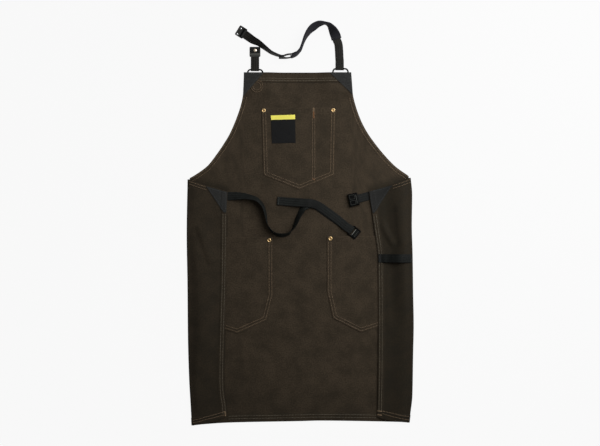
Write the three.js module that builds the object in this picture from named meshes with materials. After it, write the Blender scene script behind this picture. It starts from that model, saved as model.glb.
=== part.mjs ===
// Bib apron lying flat, front up, with both side wings folded forward over the front.
// Millimetres. X to the right, Y towards the bib, Z up from the floor under the apron.
import * as THREE from 'three';

// Cloth and webbing
const clothThick = 1.2;
const hemExtra = 0.8;
const hemDeep = 15;
const bibHemDeep = 23;
const pieceGap = 0.3;
const patchThick = 1;
const webWide = 20;
const webThick = 1.2;
const onCloth = clothThick + pieceGap;

// Side folds and wings
const foldReach = 4.4;
const foldHigh = 5.6;
const wingRest = 4.3;

// Bib corners, lifted by the rings and loops behind them
const liftHigh = 7.2;
const liftInner = 35;
const liftOuter = 78;
const liftLow = 345;
const liftFull = 383;

// Rings, neck pad, clip and buckles
const wireRound = 1.9;
const ringBarLow = 405.5;
const ringBarTop = 429.5;
const ringLevel = webThick + pieceGap + wireRound;
const loopRound = wireRound + pieceGap + webThick / 2;
const padWide = 24.5;
const padThick = 4.5;

const colours = {
  cloth: 0x3a302a, patch: 0x2c2e2e, web: 0x161818, pad: 0x34343c, plastic: 0x101112, wire: 0x1a1a1b,
  brass: 0xc8964f, steel: 0xb9bcc0, woven: 0x121214,
};

const apron = new THREE.Group();
apron.name = 'bib_apron';

function add(name, geometry, colour) {
  geometry.computeVertexNormals();
  const metal = ['brass', 'steel', 'wire'].includes(colour);
  const material = new THREE.MeshStandardMaterial({
    color: colours[colour], roughness: metal ? 0.35 : 0.9, metalness: metal ? 0.9 : 0,
  });
  const mesh = new THREE.Mesh(geometry, material);
  mesh.name = name;
  apron.add(mesh);
}

function table(columns, rows) {
  return rows.map((row) => Object.fromEntries(columns.map((name, i) => [name, row[i]])));
}

const mix = (a, b, share) => a + (b - a) * share;

function ease(share) {
  const held = Math.min(Math.max(share, 0), 1);
  return held * held * (3 - 2 * held);
}

// Straight reading between the rows of a table, held at both ends
function reading(rows, key, value) {
  const order = [...rows].sort((a, b) => a[key] - b[key]);
  return (at) => {
    const next = order.findIndex((row) => row[key] >= at);
    if (next === 0) return order[0][value];
    if (next < 0) return order[order.length - 1][value];
    const a = order[next - 1];
    const b = order[next];
    return mix(a[value], b[value], (at - a[key]) / (b[key] - a[key]));
  };
}

// Closed wall about a grid of middle points, with a reach to either side of each point
function wall(middle, reach) {
  const last = middle.length - 1;
  const end = middle[0].length - 1;
  const size = (last + 1) * (end + 1);
  const place = [];
  const sides = [1, -1];
  for (const side of sides) {
    for (let i = 0; i <= last; i += 1) {
      for (let j = 0; j <= end; j += 1) {
        const across = middle[Math.min(i + 1, last)][j].clone().sub(middle[Math.max(i - 1, 0)][j]);
        const along = middle[i][Math.min(j + 1, end)].clone().sub(middle[i][Math.max(j - 1, 0)]);
        const normal = across.cross(along).normalize();
        const far = reach(i, j)[side > 0 ? 0 : 1];
        place.push(...middle[i][j].clone().addScaledVector(normal, side * far).toArray());
      }
    }
  }
  const index = [];
  const at = (i, j) => i * (end + 1) + j;
  const quad = (a, b, c, d) => index.push(a, b, c, a, c, d);
  for (let i = 0; i < last; i += 1) {
    for (let j = 0; j < end; j += 1) {
      quad(at(i, j), at(i + 1, j), at(i + 1, j + 1), at(i, j + 1));
      quad(size + at(i, j), size + at(i, j + 1), size + at(i + 1, j + 1), size + at(i + 1, j));
    }
    quad(at(i, 0), size + at(i, 0), size + at(i + 1, 0), at(i + 1, 0));
    quad(at(i, end), at(i + 1, end), size + at(i + 1, end), size + at(i, end));
  }
  for (let j = 0; j < end; j += 1) {
    quad(at(0, j), at(0, j + 1), size + at(0, j + 1), size + at(0, j));
    quad(at(last, j), size + at(last, j), size + at(last, j + 1), at(last, j + 1));
  }
  const geometry = new THREE.BufferGeometry();
  geometry.setAttribute('position', new THREE.Float32BufferAttribute(place, 3));
  geometry.setIndex(index);
  return geometry;
}

// Height of the upper side of a geometry at a place, the highest of its triangles there
function heightOn(geometry) {
  const spot = geometry.getAttribute('position');
  const index = geometry.getIndex();
  const corner = (n) => new THREE.Vector3().fromBufferAttribute(spot, index.getX(n));
  const faces = [];
  for (let n = 0; n < index.count; n += 3) faces.push([corner(n), corner(n + 1), corner(n + 2)]);
  return (x, y) => {
    let high = 0;
    for (const [a, b, c] of faces) {
      const whole = (b.x - a.x) * (c.y - a.y) - (c.x - a.x) * (b.y - a.y);
      if (Math.abs(whole) < 1e-9) continue;
      const u = ((x - a.x) * (c.y - a.y) - (c.x - a.x) * (y - a.y)) / whole;
      const v = ((b.x - a.x) * (y - a.y) - (x - a.x) * (b.y - a.y)) / whole;
      if (u >= 0 && v >= 0 && u + v <= 1) high = Math.max(high, a.z + u * (b.z - a.z) + v * (c.z - a.z));
    }
    return high;
  };
}

// Body cloth: outlines of the two sides as they lie
const hipColumns = ['x', 'y'];
const domeColumns = ['y', 'high', 'crest'];
const left = {
  hand: -1,
  armhole: table(hipColumns, [
    [-130.8, 420.7], [-131.3, 407.6], [-131.8, 394.5], [-132.2, 381.4], [-132.7, 368.4], [-137.8, 344.4],
    [-145.4, 320.4], [-154.8, 296.4], [-165.8, 272.4],
    [-180.2, 248.4], [-196.6, 224.4], [-215, 200.4], [-228.7, 188.4], [-246.2, 176.4], [-266, 164.4],
  ]),
  fold: table(hipColumns, [
    [-266, 164], [-268.1, 32], [-266.2, -88], [-265.2, -208], [-262.6, -304], [-258.7, -376], [-255.9, -423],
  ]),
  edge: table(hipColumns, [
    [-170.4, 134.4], [-172.1, 87.4], [-172.8, -4.8], [-175, -124.8], [-177.2, -196.8], [-179.4, -316.8],
    [-177.4, -352], [-173.6, -376.8], [-171.6, -400.8],
  ]),
  wingTop: table(hipColumns, [[-266, 164.4], [-219.6, 148.8], [-198.7, 144.5], [-170.4, 134.9]]),
  wingLow: table(hipColumns, [[-255.9, -424.8], [-226.8, -421], [-198, -414.5], [-171.1, -401.3]]),
  dome: table(domeColumns, [
    [164, 1, 0.14], [60, 1.4, 0.15], [10, 2.2, 0.19], [-40, 4.8, 0.23], [-80, 5.5, 0.26], [-200, 6.5, 0.33],
    [-320, 3, 0.16], [-424, 1.2, 0.14],
  ]),
  flat: 1,
  foldShare: 0,
};
const right = {
  hand: 1,
  armhole: table(hipColumns, [
    [126.2, 420.7], [127.2, 407.6], [128.2, 394.5], [129.3, 381.4], [130.3, 368.4], [136.1, 344.4],
    [144, 320.4], [154.3, 296.4], [168, 272.4],
    [185.3, 248.4], [204.7, 224.4], [227.3, 200.4], [241.7, 188.4], [259.4, 176.4], [269, 168],
  ]),
  fold: table(hipColumns, [
    [269, 168], [272.4, 128], [272, 56], [273.4, -16], [274.8, -112], [276.2, -184], [274.8, -256],
    [273.1, -352], [267.8, -400], [265.7, -417],
  ]),
  edge: table(hipColumns, [
    [168.7, 135.6], [171.6, 114.5], [176.4, 85.7], [181.9, 47.3], [186.7, 15.1], [190.2, -14.4],
    [191.2, -62.4], [191.8, -165.6], [191.6, -270.5], [190.4, -353.5], [189.4, -403.2],
  ]),
  wingTop: table(hipColumns, [[269, 168], [226.1, 152.4], [206.9, 147.5], [168.5, 136.1]]),
  wingLow: table(hipColumns, [
    [265.7, -417.6], [243.6, -415.7], [224.4, -413.5], [205.2, -410], [188.9, -404.2],
  ]),
  dome: table(domeColumns, [
    [168, 6, 0.2], [110, 9, 0.2], [-20, 10, 0.2], [-100, 9, 0.2], [-200, 3.5, 0.2],
    [-300, 2.6, 0.2], [-380, 3.8, 0.2], [-418, 3, 0.2],
  ]),
  flat: 0.64,
  foldShare: 0.6,
};
const frontLow = reading(table(['x', 'y'], [
  [-266, -424.8], [-169, -418.6], [4, -415.2], [52, -414], [190, -415.8], [266, -417.6],
]), 'x', 'y');
for (const side of [left, right]) {
  side.foldX = reading(side.fold, 'y', 'x');
  side.edgeX = reading(side.edge, 'y', 'x');
  side.topY = reading(side.wingTop, 'x', 'y');
  side.lowY = reading(side.wingLow, 'x', 'y');
  side.domeHigh = reading(side.dome, 'y', 'high');
  side.crest = reading(side.dome, 'y', 'crest');
  side.hip = side.wingTop[0];
}

const lift = (x, y) => liftHigh
  * ease((Math.abs(x) - liftInner) / (liftOuter - liftInner))
  * ease((y - liftLow) / (liftFull - liftLow));

// Middle of the fold section, where the flat front ends and the wing begins
const turnX = (side, y) => side.foldX(y) - side.hand * (clothThick / 2 + foldReach);

// Slack of a wing: a dome that rises from the fold to its crest and falls to where the wing lies flat
function domeAt(side, share, y) {
  const crest = side.crest(y);
  const rise = mix(side.foldShare, 1, ease(share / crest));
  const fall = 1 - ease((share - crest) / (side.flat - crest));
  return side.domeHigh(y) * (share < crest ? rise : fall);
}

function wingColumn(side, share) {
  const across = (y) => mix(turnX(side, y), side.edgeX(y), share);
  const high = wingRest + (clothThick / 2 + foldHigh - wingRest) * (1 - ease(share));
  return {
    low: side.lowY(across(-410)),
    high: side.topY(across(150)),
    wing: true,
    place: (y) => new THREE.Vector3(across(y), y, high + domeAt(side, share, y)),
  };
}

function foldColumn(side, turn) {
  const loopHigh = (y) => foldHigh + domeAt(side, 0, y);
  return {
    low: side.wingLow[0].y,
    high: side.hip.y,
    wing: turn > 0,
    place: (y) => new THREE.Vector3(
      turnX(side, y) + side.hand * foldReach * Math.cos(turn),
      y,
      clothThick / 2 + (loopHigh(y) / 2) * (1 + Math.sin(turn)),
    ),
  };
}

function frontColumn(x, high) {
  const side = x < 0 ? left : right;
  return {
    low: frontLow(x),
    high,
    wing: false,
    place: (y) => {
      const across = x * mix(1, side.foldX(Math.min(y, side.hip.y)) / side.hip.x, Math.abs(x / side.hip.x));
      return new THREE.Vector3(across, y, clothThick / 2 + lift(across, y));
    },
  };
}

const wingShares = [1, 0.87, 0.84, 0.68, 0.55, 0.42, 0.29, 0.18, 0.08];
const foldTurns = [90, 60, 30, 0, -30, -60, -90].map((degrees) => (degrees * Math.PI) / 180);
const bibColumns = [-112, -94, -78, -64, -50, -35, -18, 0, 18, 35, 50, 64, 78, 94, 110];
const sideColumns = (side) => [
  ...wingShares.map((share) => wingColumn(side, share)),
  ...foldTurns.map((turn) => foldColumn(side, turn)),
  ...side.armhole.slice(0, -1).reverse().map((row) => frontColumn(row.x, row.y)),
];
const bodyColumns = [
  ...sideColumns(left),
  ...bibColumns.map((x) => frontColumn(x, left.armhole[0].y)),
  ...sideColumns(right).reverse(),
];

// Rows of a column: a hem below, even steps that close up towards the bib, a hem above
const rowShares = [
  0, 0.08, 0.17, 0.26, 0.35, 0.44, 0.53, 0.62, 0.7, 0.77, 0.83, 0.88, 0.92, 0.945, 0.965, 0.985, 1,
];
const hemSlope = 2;
function rowsOf(column) {
  const low = column.low + hemDeep + hemSlope;
  const high = column.high - bibHemDeep - hemSlope;
  return [
    column.low, column.low + hemDeep, ...rowShares.map((share) => mix(low, high, share)),
    column.high - bibHemDeep, column.high,
  ];
}
const bodyMiddle = bodyColumns.map((column) => rowsOf(column).map((y) => column.place(y)));
const bodyRows = bodyMiddle[0].length;
const bodyBib = bodyColumns.map((column) => column.high === left.armhole[0].y);
const body = wall(bodyMiddle, (i, j) => {
  const inHem = j < 2 || (j >= bodyRows - 2 && bodyBib[i]);
  const onEdge = i < 2 || i >= bodyColumns.length - 2;
  const raised = clothThick / 2 + (inHem || onEdge ? hemExtra : 0);
  const plain = clothThick / 2;
  return bodyColumns[i].wing ? [plain, raised] : [raised, plain];
});
add('body_panel', body, 'cloth');
const bodyTop = heightOn(body);

// Highest cloth close round a place, for pieces that bridge a step in it
const near = 6;
const ways = [-near, 0, near].flatMap((dx) => [-near, 0, near].map((dy) => [dx, dy]));
const coverTop = (x, y) => Math.max(...ways.map(([dx, dy]) => bodyTop(x + dx, y + dy)));

// Cloth laid on a surface between a left and a right edge, both given from low to high
function panel(leftEdge, rightEdge, steps, thick, support) {
  const middle = [];
  for (let i = 0; i <= steps; i += 1) {
    middle.push(leftEdge.map(([x, y], j) => {
      const px = mix(x, rightEdge[j][0], i / steps);
      const py = mix(y, rightEdge[j][1], i / steps);
      return new THREE.Vector3(px, py, support(px, py) + pieceGap + thick / 2);
    }));
  }
  return wall(middle, () => [thick / 2, thick / 2]);
}

// Evenly spaced extra points along an edge
const finer = (edge, pieces) => edge.slice(0, -1).flatMap(([x, y], n) => (
  Array.from({ length: pieces }, (_, k) => [
    mix(x, edge[n + 1][0], k / pieces), mix(y, edge[n + 1][1], k / pieces),
  ])
)).concat([edge[edge.length - 1]]);

// Pockets
const flatFront = () => clothThick;
const tipHalf = 1;
const chestTip = [2.2, 140.9];
add('chest_pocket', panel(
  [[chestTip[0] - tipHalf, chestTip[1]], [-83.8, 175.2], [-88.3, 336.5]],
  [[chestTip[0] + tipHalf, chestTip[1]], [85.7, 175.2], [89, 336.5]],
  6, clothThick, flatFront,
), 'cloth');
const leftTip = [-147.1, -204];
add('hand_pocket_left', panel(
  [[leftTip[0] - tipHalf, leftTip[1]], [-246, -173], [-248, -112.8], [-248, 26.4]],
  [[leftTip[0] + tipHalf, leftTip[1]], [-76.1, -172.8], [-61.2, -112.8], [-61.4, 26.4]],
  6, clothThick, flatFront,
), 'cloth');
const rightTip = [150.2, -201.6];
add('hand_pocket_right', panel(
  [[rightTip[0] - tipHalf, rightTip[1]], [82.8, -168.2], [68.9, -103.2], [68.9, 28.8]],
  [[rightTip[0] + tipHalf, rightTip[1]], [250, -168.6], [254, -103.2], [254, 28.8]],
  6, clothThick, flatFront,
), 'cloth');

// Blank woven patch on the chest pocket
const wovenThick = 0.8;
add('woven_patch', panel(
  [[-65.6, 252], [-67.4, 318.6]], [[-6.7, 253.4], [-8.3, 320.2]], 2, wovenThick, () => onCloth + clothThick,
), 'woven');

// Corner patches on the bib and on the wings, each edge from low to high
const patchSteps = 6;
const cornerPatch = (leftEdge, rightEdge) => panel(
  finer(leftEdge, patchSteps / (leftEdge.length - 1)),
  finer(rightEdge, patchSteps / (rightEdge.length - 1)),
  4, patchThick, coverTop,
);
add('bib_corner_patch_left', cornerPatch(
  [[-132, 366], [-130.4, 420.4]], [[-130, 366], [-83, 420.4]],
), 'patch');
add('bib_corner_patch_right', cornerPatch(
  [[127.6, 369.6], [74.6, 420.4]], [[129.6, 369.6], [125.8, 420.4]],
), 'patch');
add('hip_corner_patch_left', cornerPatch(
  [[-178.4, 85.2], [-186.5, 95], [-195.1, 109.4], [-221.5, 148]],
  [[-173.2, 85.2], [-172.4, 96], [-171.8, 110], [-171.2, 134.4]],
), 'patch');
add('hip_corner_patch_right', cornerPatch(
  [[177.6, 84], [176.2, 92], [173.6, 106], [169.6, 135.6]],
  [[181.2, 84], [187.7, 92], [195.8, 106], [224.4, 150.6]],
), 'patch');

// Stitched round beside the left bib patch, cut where the patch covers it
const round = { x: -99.4, y: 388.3, radius: 15.5, steps: 10, trim: 0.985 };
const patchEdge = reading(table(['y', 'x'], [[366, -130], [420.4, -83]]), 'y', 'x');
const roundRows = Array.from({ length: round.steps + 1 }, (_, n) => {
  const high = round.radius * round.trim * Math.sin(Math.PI * (n / round.steps - 0.5));
  return { y: round.y + high, half: Math.sqrt(round.radius ** 2 - high ** 2) };
}).filter((row) => round.x + row.half > patchEdge(row.y) + 2);
add('round_tab', panel(
  roundRows.map((row) => [Math.max(round.x - row.half, patchEdge(row.y) + 2 * pieceGap), row.y]),
  roundRows.map((row) => [round.x + row.half, row.y]),
  4, patchThick, coverTop,
), 'cloth');

// Band of webbing through places that each carry a direction across the band
function ribbon(path, wide, thick) {
  const edge = (half) => path.map(({ at, across }) => at.clone().addScaledVector(across, half));
  return wall([edge(-wide / 2), edge(wide / 2)], () => [thick / 2, thick / 2]);
}

// Rounded path through the rows of a table, every column alike
function rounded(rows, columns, pieces) {
  const out = [];
  for (let n = 0; n < rows.length - 1; n += 1) {
    const four = [rows[Math.max(n - 1, 0)], rows[n], rows[n + 1], rows[Math.min(n + 2, rows.length - 1)]];
    for (let k = 0; k < pieces; k += 1) {
      const t = k / pieces;
      out.push(Object.fromEntries(columns.map((name) => {
        const [a, b, c, d] = four.map((row) => row[name]);
        const curve = 2 * b + (c - a) * t
          + (2 * a - 5 * b + 4 * c - d) * t ** 2 + (3 * b - a - 3 * c + d) * t ** 3;
        return [name, curve / 2];
      })));
    }
  }
  return [...out, rows[rows.length - 1]];
}

// Webbing laid along plan places; roll tips it on edge, base is the height it stands on
const layColumns = ['x', 'y', 'roll', 'base'];
function lay(rows, wide, thick, hand = 1, pieces = 2) {
  const path = rounded(rows, layColumns, pieces);
  return path.map((row, n) => {
    const before = path[Math.max(n - 1, 0)];
    const after = path[Math.min(n + 1, path.length - 1)];
    const run = new THREE.Vector3(after.x - before.x, after.y - before.y, 0).normalize();
    const roll = (row.roll * Math.PI) / 180;
    const across = new THREE.Vector3(run.y, -run.x, 0).multiplyScalar(Math.cos(roll));
    across.z = Math.sin(roll);
    const high = row.base + (thick * Math.abs(Math.cos(roll)) + wide * Math.abs(Math.sin(roll))) / 2;
    return { at: new THREE.Vector3(row.x, row.y, high), across: across.multiplyScalar(hand) };
  });
}

// Half turn of webbing round a bar, from below to above it
function halfTurn(centre, run, radius, across) {
  const steps = 6;
  return Array.from({ length: steps + 1 }, (_, n) => {
    const turn = Math.PI * (n / steps - 0.5);
    const at = centre.clone().addScaledVector(run, radius * Math.cos(turn));
    at.z += radius * Math.sin(turn);
    return { at, across };
  });
}

// Rings behind the bib corners, with the webbing loops that hold them
const across = new THREE.Vector3(1, 0, 0);
const up = new THREE.Vector3(0, 1, 0);
const ringHigh = ringBarTop - ringBarLow;
const ringPlan = [
  [-14.5, 0], [0, 0], [14.5, 0], [18.5, 4], [18.5, 13], [17.2, 20], [12.5, ringHigh], [0, ringHigh],
  [-12.5, ringHigh], [-17.2, 20], [-18.5, 13], [-18.5, 4],
];
const keeperLong = 18;
const leftDrop = 2.2;
const rings = { left: { x: -103.9, low: ringBarLow - leftDrop }, right: { x: 100.6, low: ringBarLow } };
for (const [name, { x, low }] of Object.entries(rings)) {
  const points = ringPlan.map(([px, py]) => new THREE.Vector3(x + px, low + py, ringLevel));
  const curve = new THREE.CatmullRomCurve3(points, true, 'catmullrom', 0.4);
  add(`d_ring_${name}`, new THREE.TubeGeometry(curve, 36, wireRound, 8, true), 'wire');
  const keeperEnd = (level) => ({ at: new THREE.Vector3(x, low - keeperLong, level), across });
  add(`ring_keeper_${name}`, ribbon([
    keeperEnd(ringLevel - loopRound),
    ...halfTurn(new THREE.Vector3(x, low, ringLevel), up, loopRound, across),
    keeperEnd(ringLevel + loopRound),
  ], webWide, webThick), 'web');
}

// Short webbing on the left ring, with the lower half of the neck clip
const down = new THREE.Vector3(0, -1, 0);
const back = new THREE.Vector3(-1, 0, 0);
const socket = { x: -104.4, low: 458.4, high: 482.4, half: 13, thick: 5 };
const tabBar = ringBarTop - leftDrop;
const tabEnd = (level) => ({ at: new THREE.Vector3(socket.x, socket.low - pieceGap, level), across: back });
add('neck_tab', ribbon([
  tabEnd(webThick / 2),
  ...halfTurn(new THREE.Vector3(socket.x, tabBar, ringLevel), down, loopRound, back),
  { at: new THREE.Vector3(socket.x, tabBar + 4, ringLevel + loopRound), across: back },
  { at: new THREE.Vector3(socket.x, tabBar + 18, webThick * 1.5 + 2 * pieceGap), across: back },
  tabEnd(webThick * 1.5 + 2 * pieceGap),
], webWide, webThick), 'web');

// Plate with cut corners, run up from its base, with an optional hole
function plate(outline, thick, holes = []) {
  const shape = new THREE.Shape(outline.map(([x, y]) => new THREE.Vector2(x, y)));
  shape.holes = holes.map((hole) => new THREE.Path(hole.map(([x, y]) => new THREE.Vector2(x, y))));
  return new THREE.ExtrudeGeometry(shape, { depth: thick, bevelEnabled: false });
}
const box = (x0, x1, y0, y1, cut) => [
  [x0 + cut, y0], [x1 - cut, y0], [x1, y0 + cut], [x1, y1 - cut],
  [x1 - cut, y1], [x0 + cut, y1], [x0, y1 - cut], [x0, y0 + cut],
];
const stand = (radius, thick, x, y, base) => new THREE.CylinderGeometry(radius * 0.8, radius, thick, 16)
  .rotateX(Math.PI / 2).translate(x, y, base + thick / 2);
const clipCut = 3;
add('neck_clip_socket', plate(
  box(socket.x - socket.half, socket.x + socket.half, socket.low, socket.high, clipCut), socket.thick,
), 'plastic');
add('clip_stud', stand(3.2, 1.8, -103.7, 474, socket.thick + pieceGap), 'brass');

// Neck strap from the right ring, the pad it carries, and its far end with the upper half of the clip
const strapX = 98.6;
const strapTail = 16;
const padStart = { x: 91.2, y: 500.8 };
const rightStrap = table(layColumns, [
  [strapX, ringBarTop + 4, 0, ringLevel + loopRound - webThick / 2],
  [strapX, ringBarTop + 20, 0, webThick + 2 * pieceGap], [98.1, 456, 0, 0.4], [97.2, 475.2, 0, 0],
  [95.5, 489.6, 0, 0.8], [padStart.x + 0.5, padStart.y - 1.7, 0, 1.6],
]);
add('neck_strap', ribbon([
  { at: new THREE.Vector3(strapX, ringBarTop + strapTail, webThick / 2), across },
  ...halfTurn(new THREE.Vector3(strapX, ringBarTop, ringLevel), down, loopRound, across),
  ...lay(rightStrap, webWide, webThick),
], webWide, webThick), 'web');
const padRows = table(layColumns, [
  [padStart.x, padStart.y, 0, 0], [88.8, 508.6, 8, 0], [84.2, 518.6, 36, 0], [78.9, 526.9, 57, 0],
  [72.8, 533.6, 76, 0],
  [64.2, 537.6, 89, 0], [56, 537.6, 78, 0], [47, 535.6, 66, 0], [35.7, 528.6, 56, 0], [25.6, 519.2, 66, 0],
  [16.8, 505.4, 79, 0], [11.6, 493.2, 88, 0], [7.6, 482.1, 90, 0], [4.7, 475.2, 88, 0], [0.4, 469.6, 87, 0],
  [-4.4, 464.4, 85, 0], [-9.5, 460.8, 84, 0], [-15, 458, 86, 0],
]);
add('neck_pad', ribbon(lay(padRows, padWide, padThick), padWide, padThick), 'pad');
const tabRows = table(layColumns, [
  [-15.6, 457.6, 90, 1], [-19, 456.2, 90, 0.5], [-22.6, 455.3, 90, 0], [-28.7, 454.4, 90, 0],
  [-36, 454.1, 90, 0], [-47, 454.3, 90, 0],
]);
add('neck_pad_tab', ribbon(lay(tabRows, webWide, webThick), webWide, webThick), 'web');
const leftStrap = table(layColumns, [
  [-7.2, 468, -90, 1.5], [-11.5, 466.2, -90, 1], [-17, 464.2, -91, 0.5], [-24, 463.5, -92, 0],
  [-30, 462.2, -92, 0], [-36, 460, -93, 0], [-42, 459.6, -97, 0], [-50, 461.6, -103, 0],
  [-58, 464.8, -106, 0], [-67.2, 469.4, -110, 0],
  [-81.6, 480.5, -119, 0], [-96, 491.4, -131, 0], [-110.4, 499.2, -152, 0], [-127.5, 511.6, -177, 0.8],
]);
add('neck_strap_end', ribbon(lay(leftStrap, webWide, webThick), webWide, webThick), 'web');
const clip = { x: -137.5, y: 518.2, turn: (-32 * Math.PI) / 180, long: 21, wide: 26, thick: 3.5 };
add('neck_clip_plate', plate(
  box(-clip.long / 2, clip.long / 2, -clip.wide / 2, clip.wide / 2, 2), clip.thick,
).rotateZ(clip.turn).translate(clip.x, clip.y, 0), 'plastic');
add('clip_rivet_1', stand(2, 0.9, -138.6, 525.9, clip.thick + pieceGap), 'steel');
add('clip_rivet_2', stand(2, 0.9, -146.9, 513.6, clip.thick + pieceGap), 'steel');

// Waist strap: from under the left wing, on edge through a bend, flat to the buckle and back as a tail
const male = {
  x: 133.5, y: 37.3, turn: (-38.7 * Math.PI) / 180, long: 23.4, wide: 26, thick: 3,
  bar: 4, slot: 5.4, slotHalf: 10.6,
};
const maleBase = onCloth + webThick + pieceGap;
const maleRun = new THREE.Vector3(Math.cos(male.turn), Math.sin(male.turn), 0);
const maleAcross = new THREE.Vector3(maleRun.y, -maleRun.x, 0);
const barRound = (male.thick + webThick) / 2 + pieceGap;
const turnAt = new THREE.Vector3(male.x, male.y, maleBase + male.thick / 2)
  .addScaledVector(maleRun, male.bar - pieceGap - male.long / 2);
const strapOut = table(['x', 'y', 'roll'], [
  [-200, 124.4, 0], [-169.9, 124.3, 0], [-156, 124.4, 10], [-145.2, 124.5, 26], [-130.8, 124.2, 42],
  [-116.4, 121.8, 54], [-102, 117.6, 62], [-92, 109.8, 68], [-85, 100.6, 72], [-81, 90, 74], [-78, 78, 77],
  [-75.4, 62, 86], [-71.2, 50.6, 97], [-64.6, 41, 103], [-54, 33.6, 110], [-42, 30.4, 116], [-30, 31.8, 111],
  [-21, 36.6, 102], [-13.4, 45.6, 88], [-7.4, 57.2, 74], [-2.4, 70, 68], [3.2, 81, 64], [11, 95, 50],
  [20, 102.5, 20], [29, 106, 8], [41, 103, 2], [55, 93.6, 0], [84, 73, 0], [112, 53, 0],
]).map((row) => ({ ...row, base: onCloth }));
const tail = maleBase + 0.1;
const strapBack = table(layColumns, [
  [112, 53, 0, tail + male.thick], [98, 65, 0, tail + 0.6], [85, 75, 0, tail], [57.5, 95, 0, tail + 0.2],
  [45.5, 102.2, 0, tail + 2.6], [34, 106.4, 0, 9], [23, 108, 0, 11.4], [10, 108.6, 0, 11],
  [-5, 109.6, 0, 8.6], [-20, 110.6, 0, 6], [-36, 111.8, 0, 4], [-51, 113, 0, 3],
]);
add('waist_strap', ribbon([
  ...lay(strapOut, webWide, webThick),
  ...halfTurn(turnAt, maleRun, barRound, maleAcross),
  ...lay(strapBack, webWide, webThick, -1),
], webWide, webThick), 'web');
const maleRear = -male.long / 2;
add('waist_buckle_male', plate(
  box(maleRear, -maleRear, -male.wide / 2, male.wide / 2, 3.5), male.thick,
  [box(maleRear + male.bar, maleRear + male.bar + male.slot, -male.slotHalf, male.slotHalf, 0.4)],
).rotateZ(male.turn).translate(male.x, male.y, maleBase), 'plastic');

// Short webbing from under the right wing, with the other half of the buckle
const female = {
  x: 132.2, y: 116, turn: (11.4 * Math.PI) / 180, long: 23.4, wide: 30.6, high: 7.5, cut: 1.5,
  holeHalf: 12, holeLow: 1.9, holeHigh: 5.5,
};
const femaleRun = new THREE.Vector3(Math.cos(female.turn), Math.sin(female.turn), 0);
const femaleAcross = new THREE.Vector3(-femaleRun.y, femaleRun.x, 0);
const femaleEnd = new THREE.Vector3(female.x, female.y, onCloth).addScaledVector(femaleRun, -female.long / 2);
const sleeve = plate(
  box(-female.wide / 2, female.wide / 2, 0, female.high, female.cut), female.long,
  [box(-female.holeHalf, female.holeHalf, female.holeLow, female.holeHigh, 0.4)],
);
const sleeveBasis = new THREE.Matrix4().makeBasis(femaleAcross, new THREE.Vector3(0, 0, 1), femaleRun);
sleeve.applyMatrix4(sleeveBasis.setPosition(femaleEnd));
add('waist_buckle_female', sleeve, 'plastic');
const inSleeve = onCloth + female.holeLow + pieceGap;
add('waist_tab', ribbon(lay(table(layColumns, [
  [138.5, 117.3, 0, inSleeve], [144.5, 118.5, 0, inSleeve], [156, 121.4, 0, onCloth + 0.8],
  [169, 124.8, 0, onCloth], [198, 130.5, 0, onCloth],
]), webWide, webThick), webWide, webThick), 'web');

// Tool loop across the right wing, bowed up so that a handle goes through
const loop = { y: -24.6, start: 191.6, end: 270.6, bow: 5.6, flat: 7, steps: 14 };
const loopPath = Array.from({ length: loop.steps + 1 }, (_, n) => {
  const x = mix(loop.start, loop.end, n / loop.steps);
  const reach = loop.end - loop.start - 2 * loop.flat;
  const free = Math.min(Math.max((x - loop.start - loop.flat) / reach, 0), 1);
  const under = Math.max(...[-webWide / 2, 0, webWide / 2].map((off) => coverTop(x, loop.y + off)));
  const high = under + pieceGap + webThick / 2 + loop.bow * Math.sin(Math.PI * free) ** 0.8;
  return { at: new THREE.Vector3(x, loop.y, high), across: down };
});
add('tool_loop', ribbon(loopPath, webWide, webThick), 'web');

// Brass rivets at the pocket tops
const rivets = table(['name', 'x', 'y'], [
  ['chest_rivet_left', -83.4, 329.8], ['chest_rivet_right', 83.2, 330.5],
  ['hand_rivet_left', -70.1, 18.7], ['hand_rivet_right', 76.3, 22.8],
]);
for (const rivet of rivets) {
  add(rivet.name, stand(4.7, 1.3, rivet.x, rivet.y, onCloth + clothThick + pieceGap), 'brass');
}

export default apron;
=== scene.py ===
import math

import bpy
import numpy as np
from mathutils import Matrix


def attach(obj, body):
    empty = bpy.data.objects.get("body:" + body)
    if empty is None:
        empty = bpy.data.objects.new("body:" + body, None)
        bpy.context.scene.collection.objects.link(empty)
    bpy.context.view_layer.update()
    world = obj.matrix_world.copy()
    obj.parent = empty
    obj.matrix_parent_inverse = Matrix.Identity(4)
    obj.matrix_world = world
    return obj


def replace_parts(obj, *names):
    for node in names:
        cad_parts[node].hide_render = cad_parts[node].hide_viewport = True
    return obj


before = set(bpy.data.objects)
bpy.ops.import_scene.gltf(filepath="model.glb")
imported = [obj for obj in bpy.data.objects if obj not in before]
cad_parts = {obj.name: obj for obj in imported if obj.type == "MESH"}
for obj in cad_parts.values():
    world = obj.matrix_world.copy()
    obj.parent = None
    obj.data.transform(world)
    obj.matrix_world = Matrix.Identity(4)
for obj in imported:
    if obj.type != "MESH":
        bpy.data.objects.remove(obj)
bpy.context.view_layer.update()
scene = bpy.context.scene
mm = 0.001  # tables are in millimetres, Blender is in metres

# small tools


# sRGB hex to linear red, green, blue, alpha
def colour(text):
    value = np.array([int(text[k:k + 2], 16) for k in (1, 3, 5)]) / 255
    linear = np.where(value <= 0.04045, value / 12.92, ((value + 0.055) / 1.055) ** 2.4)
    return (*linear.tolist(), 1.0)


# one node with its settings, its input values and its links
def addNode(tree, kind, inputs=None, **settings):
    made = tree.nodes.new(kind)
    for name, value in settings.items():
        setattr(made, name, value)
    for name, value in (inputs or {}).items():
        if isinstance(value, bpy.types.NodeSocket):
            tree.links.new(value, made.inputs[name])
        else:
            made.inputs[name].default_value = value
    return made


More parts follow.
